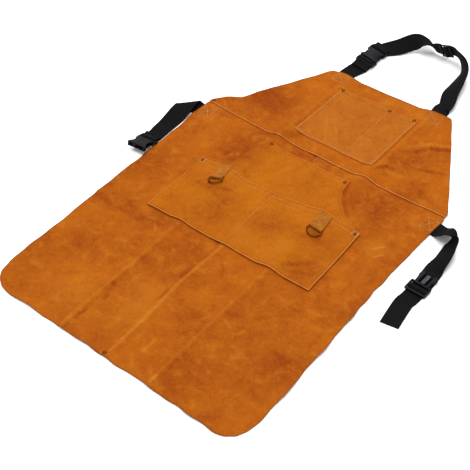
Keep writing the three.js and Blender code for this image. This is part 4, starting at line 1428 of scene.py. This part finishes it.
def web_strip(length, at):
    """A strip of webbing whose middle surface is at(s, t), by the distances along and across it."""
    step = 0.05

    def place(u, v, upper):
        s = v * length
        t = (u - 0.5) * WEB_WIDTH
        along = at(s + step, t) - at(s - step, t)
        over = at(s, t + step) - at(s, t - step)
        normal = over.cross(along).normalized()
        return at(s, t) + normal * ((0.5 if upper else -0.5) * WEB_THICK)

    return cut_sheet(WEB_COLUMNS, round(length / STRAP_STEP), (WEB_WIDTH, length), place, WEB_RIM * MM)


def web_loop(place):
    """The doubled end of a strap round a buckle's bar, which lies along x at the place, and its length."""
    middle = LOOP["inner"] + WEB_THICK / 2
    inner = -LOOP["inner"] + 1.5 * WEB_THICK + GAP
    pinch, proud = LOOP["pinch"]
    points = [Vector((y, -middle)) for y in (LOOP["reach"], *LOOP["lower"])]
    points += round_bar(middle, math.pi, LOOP["wrap_steps"])
    points += [Vector((LOOP["top"], middle)), Vector((pinch, inner + proud))]
    points += [Vector((y, inner)) for y in (LOOP["upper"], LOOP["reach"])]
    strip, length = looped_strip(
        eased(points), WEB_WIDTH, WEB_THICK, WEB_RIM * MM, WEB_COLUMNS, LOOP["rows"])
    return to_row(strip, place), length


def spot_matrix(x, y, z, turn=0.0, roll=0.0, pitch=0.0):
    """A frame at a place in plan, turned about z, rolled about y and pitched about x."""
    turned = Matrix.Rotation(turn, 4, "Z") @ Matrix.Rotation(roll, 4, "Y") @ Matrix.Rotation(pitch, 4, "X")
    return Matrix.Translation((x, y, z)) @ turned


# Side release buckles, along y, with the shoulder where the two halves meet at y = 0
BUCKLE = {
    "half": 23, "body": 36, "body_thick": 11, "frame_thick": 4, "bar_from": 44, "end": 48.5, "slot": 19.6,
    "clear": 0.3, "socket_half": 16.6, "socket_deep": 33, "socket_thick": 6.4, "bar": 4, "shoulder": 5,
    "shoulder_thick": 6, "shoulder_in": 1.5, "slot_wide": 7, "prong_thick": 4.4, "tongue_half": 4.6,
    "tongue_long": 26, "joined": 0.5,
}

# The socket half: how far its outline is in from the full half width, and where along the buckle
SHELL = {
    "mouth": 1, "dip": 2.5, "cheek": -0.5, "cheek_at": 7, "waist": 5, "waist_from": 11, "waist_to": 29,
    "hollow": 8, "hollow_at": 20, "tail": 1.5, "sunk": 0.05, "end_half": 17, "frame_in": 6, "frame_out": 0.5,
}
FRONT_WALL = ((0.9, 1.2), (1.3, 6.3), (2.9, 8.8), (5.2, 11))
REAR_WALL = ((4.2, 31), (1.8, 35.7))

# The prong half: one of its springy arms, and the ribs on its guide
ARM = (
    (14.6, -3), (14.6, 12), (19.5, 17), (19.5, 25), (14.5, 31),
    (12.2, 31.4), (10.6, 30.2), (9.6, 27), (9.6, -3),
)
GRIP = {"from": 1, "to": 24, "pitch": 3, "rib": 2.2, "in": 0.6, "sunk": 0.3, "proud": 0.5}

# Roundings of the moulded edges, and of the corners of the frames
EDGES = {
    "shell": 1.1, "wall": 0.3, "frame": 0.7, "shoulder": 1.0, "arm": 0.8, "guide": 0.9, "rib": 0.3,
    "corner": 2, "male_corner": 2.5,
}
BUCKLE_BAR = (BUCKLE["bar_from"] + BUCKLE["end"]) / 2
SLIDER = {"half": 22, "half_long": 13.5, "thick": 3, "bar": 2, "edge": 4.6}
NECK_BUCKLE = {"x": -107, "y": 1005.5, "height": 9.5, "turn": -0.02, "roll": 0.16}
WAIST_BUCKLE = {"past": 3, "height": 6, "turn": 0.1, "pitch": -0.25}


def neck_spot(along):
    """A place along the fastened neck buckle."""
    size = NECK_BUCKLE
    x = size["x"] - math.sin(size["turn"]) * along
    y = size["y"] + math.cos(size["turn"]) * along
    return spot_matrix(x, y, size["height"], size["turn"], size["roll"])


def male_bar(index):
    """Where a bar of the prong half is, counted from its shoulder."""
    return -BUCKLE["shoulder"] - index * (BUCKLE["slot_wide"] + BUCKLE["bar"]) + BUCKLE["bar"] / 2


def waist_left_bar(pitch=0.0):
    """The bar of the waist buckle's socket half, at the end of its strap."""
    end = folded(WAIST_LEFT)(WAIST_LEFT["length"], 0)
    size = WAIST_BUCKLE
    return spot_matrix(end.x, end.y - size["past"], size["height"], size["turn"], pitch=pitch)


class APRON_OT_webbing(bpy.types.Operator):
    """Lays the neck straps and the waist straps"""

    bl_idname = "apron.webbing"
    bl_label = "Webbing Straps"

    def execute(self, context):
        look = finishes(context)["webbing"]
        turned = Matrix.Rotation(math.pi, 4, "Z")
        neck_left = Route(NECK_LEFT)
        neck_right = Route(NECK_RIGHT, SLIDER_AT)
        waist_right = Route(WAIST_RIGHT, MALE_AT)
        straps = (
            ("neck_strap_left", neck_left.length, neck_left.at, neck_spot(male_bar(1)) @ turned),
            ("neck_strap_right", neck_right.length, neck_right.at, neck_spot(BUCKLE_BAR)),
            ("waist_strap_left", WAIST_LEFT["length"], folded(WAIST_LEFT), waist_left_bar()),
            ("waist_strap_right", waist_right.length, waist_right.at, None),
        )
        for node, length, at, loop_place in straps:
            parts = [web_strip(length, at)]
            if loop_place is not None:
                loop, loop_length = web_loop(loop_place)
                parts.append(loop)
                length += loop_length
            made = piece(f"{node}_webbing", gather(*parts), look, [node], sharp=50)
        return {"FINISHED"}


def arched(start, control, end, count=7):
    """A curved stretch of an outline, without its last point."""
    a, c, b = (Vector((*point, 0)) for point in (start, control, end))
    points = interpolate_bezier(a, a.lerp(c, 2 / 3), b.lerp(c, 2 / 3), b, count)
    return [(point.x, point.y) for point in points[:-1]]


def raised(bm, height, edge, corner=0.0):
    """A flat outline raised to a plate, its upright corners and then all its edges rounded."""
    made = bmesh.ops.extrude_face_region(bm, geom=bm.faces[:])
    fresh = [part for part in made["geom"] if isinstance(part, bmesh.types.BMVert)]
    bmesh.ops.translate(bm, vec=(0, 0, height), verts=fresh)
    bmesh.ops.recalc_face_normals(bm, faces=bm.faces[:])
    if corner:
        sharp = sharp_edges(bm, degrees=60)
        upright = [e for e in sharp if abs(e.verts[0].co.z - e.verts[1].co.z) > height / 2]
        round_edges(bm, [e for e in upright if is_outer(bm, e)], corner, segments=5)
    round_edges(bm, sharp_edges(bm, degrees=40), edge, segments=3)
    return bm


def is_outer(bm, edge):
    """True for an upright edge at a corner of the whole plate."""
    reach_x = max(abs(vert.co.x) for vert in bm.verts)
    return abs(edge.verts[0].co.x) > reach_x - 0.1


def plate(outline, low, high, edge):
    """A plate of an outline, between two heights."""
    bm = bmesh.new()
    bm.faces.new([bm.verts.new((x, y, low)) for x, y in outline])
    return raised(bm, high - low, edge)


def block(x0, x1, y0, y1, low, high, edge):
    """A plate with four straight sides."""
    return plate(((x0, y0), (x1, y0), (x1, y1), (x0, y1)), low, high, edge)


def ladder(columns, rows, holes, thick, edge, corner):
    """A frame: a plate ruled by columns and rows, with some cells of its middle column left open."""
    bm = bmesh.new()
    wide, tall = len(columns) - 1, len(rows) - 1
    bmesh.ops.create_grid(bm, x_segments=wide, y_segments=tall, size=0.5)
    for vert in bm.verts:
        i, j = round((vert.co.x + 0.5) * wide), round((vert.co.y + 0.5) * tall)
        vert.co = (columns[i], rows[j], -thick / 2)
    opened = []
    for face in bm.faces:
        middle = face.calc_center_median()
        inside = columns[1] < middle.x < columns[-2]
        if inside and any(rows[j] < middle.y < rows[j + 1] for j in holes):
            opened.append(face)
    bmesh.ops.delete(bm, geom=opened, context="FACES")
    return raised(bm, thick, edge, corner)


def buckle_female():
    """The socket half: two shells, the walls between them, and the frame for its strap."""
    size = BUCKLE
    half, body = size["half"], size["body"]
    mouth = (half - SHELL["mouth"], size["clear"])
    waist_from = (half - SHELL["waist"], SHELL["waist_from"])
    waist_to = (half - SHELL["waist"], SHELL["waist_to"])
    side = arched(mouth, (half - SHELL["cheek"], SHELL["cheek_at"]), waist_from)
    side += arched(waist_from, (half - SHELL["hollow"], SHELL["hollow_at"]), waist_to)
    side += [waist_to, (half - SHELL["tail"], body)]
    shell = arched((-mouth[0], mouth[1]), (0, SHELL["dip"]), mouth) + side
    shell += [(-x, y) for x, y in reversed(side[1:])]
    high = size["body_thick"] / 2
    low = size["socket_thick"] / 2
    roof = low - SHELL["sunk"]
    parts = [plate(shell, roof, high, EDGES["shell"]), plate(shell, -high, -roof, EDGES["shell"])]
    inner = size["socket_half"]
    for hand in (-1, 1):
        for steps in (FRONT_WALL, REAR_WALL):
            wall = [(inner, steps[0][1]), *((half - step, y) for step, y in steps), (inner, steps[-1][1])]
            parts.append(plate([(hand * x, y) for x, y in wall], -low, low, EDGES["wall"]))
    end_half = SHELL["end_half"]
    parts.append(block(-end_half, end_half, size["socket_deep"], REAR_WALL[-1][1], -low, low, EDGES["wall"]))
    columns = (-half, -size["slot"], size["slot"], half)
    rows = (body - SHELL["frame_in"], body + SHELL["frame_out"], size["bar_from"], size["end"])
    parts.append(ladder(columns, rows, (1,), size["frame_thick"], EDGES["frame"], EDGES["corner"]))
    return gather(*parts)


def buckle_male(slots):
    """The prong half: the frame for its strap, the shoulder, two springy arms and the guide between them."""
    size = BUCKLE
    half = size["half"]
    pitch = size["slot_wide"] + size["bar"]
    rows = [-size["shoulder"] - i * pitch for i in range(slots + 1)]
    rows += [y - size["slot_wide"] for y in rows[:-1]] + [-size["clear"]]
    columns = (-half, -size["slot"], size["slot"], half)
    holes = range(1, 2 * slots, 2)
    parts = [ladder(columns, sorted(rows), holes, size["frame_thick"], EDGES["frame"], EDGES["male_corner"])]
    deep = size["shoulder_thick"] / 2
    wide = half - size["shoulder_in"]
    foot = size["joined"] - size["shoulder"]
    parts.append(block(-wide, wide, foot, -size["clear"], -deep, deep, EDGES["shoulder"]))
    prong = size["prong_thick"] / 2
    for hand in (-1, 1):
        parts.append(plate([(hand * x, y) for x, y in ARM], -prong, prong, EDGES["arm"]))
    guide = size["tongue_half"]
    parts.append(block(-guide, guide, foot, size["tongue_long"], -prong, prong, EDGES["guide"]))
    return gather(*parts)


def ribbed_grip():
    """The ribs across the top of the guide of the prong half."""
    top = BUCKLE["prong_thick"] / 2
    wide = BUCKLE["tongue_half"] - GRIP["in"]
    low = top - GRIP["sunk"]
    high = top + GRIP["proud"]
    starts = range(GRIP["from"], GRIP["to"], GRIP["pitch"])
    return gather(*(block(-wide, wide, y, y + GRIP["rib"], low, high, EDGES["rib"]) for y in starts))


def slider_frame():
    """The frame with a middle bar that sets the length of the neck loop."""
    size = SLIDER
    inner = size["half_long"] - size["edge"]
    columns = (-size["half"], -BUCKLE["slot"], BUCKLE["slot"], size["half"])
    rows = (-size["half_long"], -inner, -size["bar"], size["bar"], inner, size["half_long"])
    return ladder(columns, rows, (1, 3), size["thick"], EDGES["frame"], EDGES["corner"])


class APRON_OT_buckles(bpy.types.Operator):
    """Moulds the two buckles and the slider"""

    bl_idname = "apron.buckles"
    bl_label = "Buckles and Slider"

    def execute(self, context):
        look = finishes(context)["plastic"]
        half_lift = WEAVE[0]["lift"] / 2
        middle, tangent, side, normal = Route(NECK_RIGHT, SLIDER_AT).frame(SLIDER_AT)
        slider = axes_matrix(middle - normal * half_lift, side, tangent)
        middle, tangent = Route(WAIST_RIGHT, MALE_AT).frame(MALE_AT)[:2]
        turn = math.atan2(tangent.x, -tangent.y)
        lift = Vector((0, 0, half_lift + GAP))
        waist_male = spot_matrix(*(middle + lift), turn) @ Matrix.Translation((0, -male_bar(1), 0))
        to_mouth = Matrix.Translation((0, -BUCKLE_BAR, 0))
        fittings = (
            ("neck_buckle_female", buckle_female(), neck_spot(0)),
            ("neck_buckle_male", buckle_male(1), neck_spot(0)),
            ("neck_slider", slider_frame(), slider),
            ("waist_buckle_female", buckle_female(), waist_left_bar(WAIST_BUCKLE["pitch"]) @ to_mouth),
            ("waist_buckle_male", buckle_male(2), waist_male),
        )
        for node, bm, place in fittings:
            piece(f"{node}_moulding", to_row(bm, place), look, [node], sharp=40)
        grip = finishes(context)["grip_plastic"]
        piece("waist_buckle_grip", to_row(ribbed_grip(), waist_male), grip, [], sharp=40)
        return {"FINISHED"}


# The camera, found from the photograph's perspective: its place in metres and its three axes
CAMERA = {
    "place": (1.15893, -1.65970, 1.79050),
    "right": (0.77982, 0.62550, -0.02516),
    "up": (-0.42784, 0.56188, 0.70799),
    "back": (0.45698, -0.54134, 0.70578),
    "sensor": 36,
    "clip_end": 100,
}
FLOOR = {"half": 12, "below": 0.0004, "grain": 700, "shade": 0.985}
LIGHTS = rows_of(
    "name place aim size power",
    ("key", (-2.0, 2.8, 3.6), (0.0, 0.0, 0.0), 2.6, 130),
    ("overhead", (0.3, -0.3, 5.0), (0.0, 0.0, 0.0), 3.5, 190),
)
WORLD_STRENGTH = 0.72


def lay_floor(pale):
    """A plain pale floor just under the leather."""
    bm = bmesh.new()
    bmesh.ops.create_grid(bm, x_segments=2, y_segments=2, size=FLOOR["half"])
    bmesh.ops.translate(bm, vec=(0, 0, -FLOOR["below"]), verts=bm.verts[:])
    mesh = bpy.data.meshes.new("floor")
    bm.to_mesh(mesh)
    bm.free()
    look = Finish("floor_paper", roughness=0.85, specular=0.1)
    grain = look.noise(FLOOR["grain"], detail=2)
    mesh.materials.append(look.done(look.mix(grain, pale, toned(pale, FLOOR["shade"]))))
    link("floor", mesh)


def light_studio(scene):
    """Soft light from all round, and from two large lamps."""
    world = bpy.data.worlds.new("studio")
    world.use_nodes = True
    sky = world.node_tree.nodes["Background"]
    sky.inputs["Color"].default_value = (1, 1, 1, 1)
    sky.inputs["Strength"].default_value = WORLD_STRENGTH
    scene.world = world
    for light in LIGHTS:
        data = bpy.data.lights.new(light["name"], "AREA")
        data.shape = "DISK"
        data.size = light["size"]
        data.energy = light["power"]
        lamp = link(light["name"], data)
        lamp.location = light["place"]
        aim = Vector(light["aim"]) - Vector(light["place"])
        lamp.rotation_euler = aim.to_track_quat("-Z", "Y").to_euler()


def set_camera(scene):
    """The camera at the photograph's viewing angle."""
    data = bpy.data.cameras.new("camera")
    data.lens = scene.apron_sizes.lens
    data.sensor_width = CAMERA["sensor"]
    data.clip_end = CAMERA["clip_end"]
    camera = link("camera", data)
    axes = Matrix([CAMERA[way] for way in ("right", "up", "back")]).transposed()
    camera.matrix_world = Matrix.Translation(CAMERA["place"]) @ axes.to_4x4()
    scene.camera = camera


class APRON_OT_stage(bpy.types.Operator):
    """Sets the floor, the soft studio light and the camera"""

    bl_idname = "apron.stage"
    bl_label = "Stage"

    def execute(self, context):
        scene = context.scene
        scene.view_settings.view_transform = "Standard"
        lay_floor(scene.apron_colours.floor)
        light_studio(scene)
        set_camera(scene)
        return {"FINISHED"}


MAKERS = (
    APRON_OT_stage, APRON_OT_leather, APRON_OT_stitching, APRON_OT_rivets, APRON_OT_rings, APRON_OT_webbing,
    APRON_OT_buckles,
)


class APRON_PT_sidebar(bpy.types.Panel):
    """Lists the apron's pieces, sizes and colours"""

    bl_idname = "APRON_PT_sidebar"
    bl_label = "Welding Apron"
    bl_space_type = "VIEW_3D"
    bl_region_type = "UI"
    bl_category = "Apron"

    def draw(self, context):
        for maker in MAKERS:
            self.layout.operator(maker.bl_idname)
        for group in (context.scene.apron_sizes, context.scene.apron_colours):
            for name in group.__annotations__:
                self.layout.prop(group, name)


CLASSES = (ApronSizes, ApronColours, *MAKERS, APRON_PT_sidebar)


def register():
    for item in CLASSES:
        bpy.utils.register_class(item)
    bpy.types.Scene.apron_sizes = PointerProperty(type=ApronSizes)
    bpy.types.Scene.apron_colours = PointerProperty(type=ApronColours)


def unregister():
    del bpy.types.Scene.apron_colours
    del bpy.types.Scene.apron_sizes
    for item in reversed(CLASSES):
        bpy.utils.unregister_class(item)


def main():
    register()
    bpy.ops.apron.stage()
    bpy.ops.apron.leather()
    bpy.ops.apron.stitching()
    bpy.ops.apron.rivets()
    bpy.ops.apron.rings()
    bpy.ops.apron.webbing()
    bpy.ops.apron.buckles()


if __name__ == "__main__":
    main()
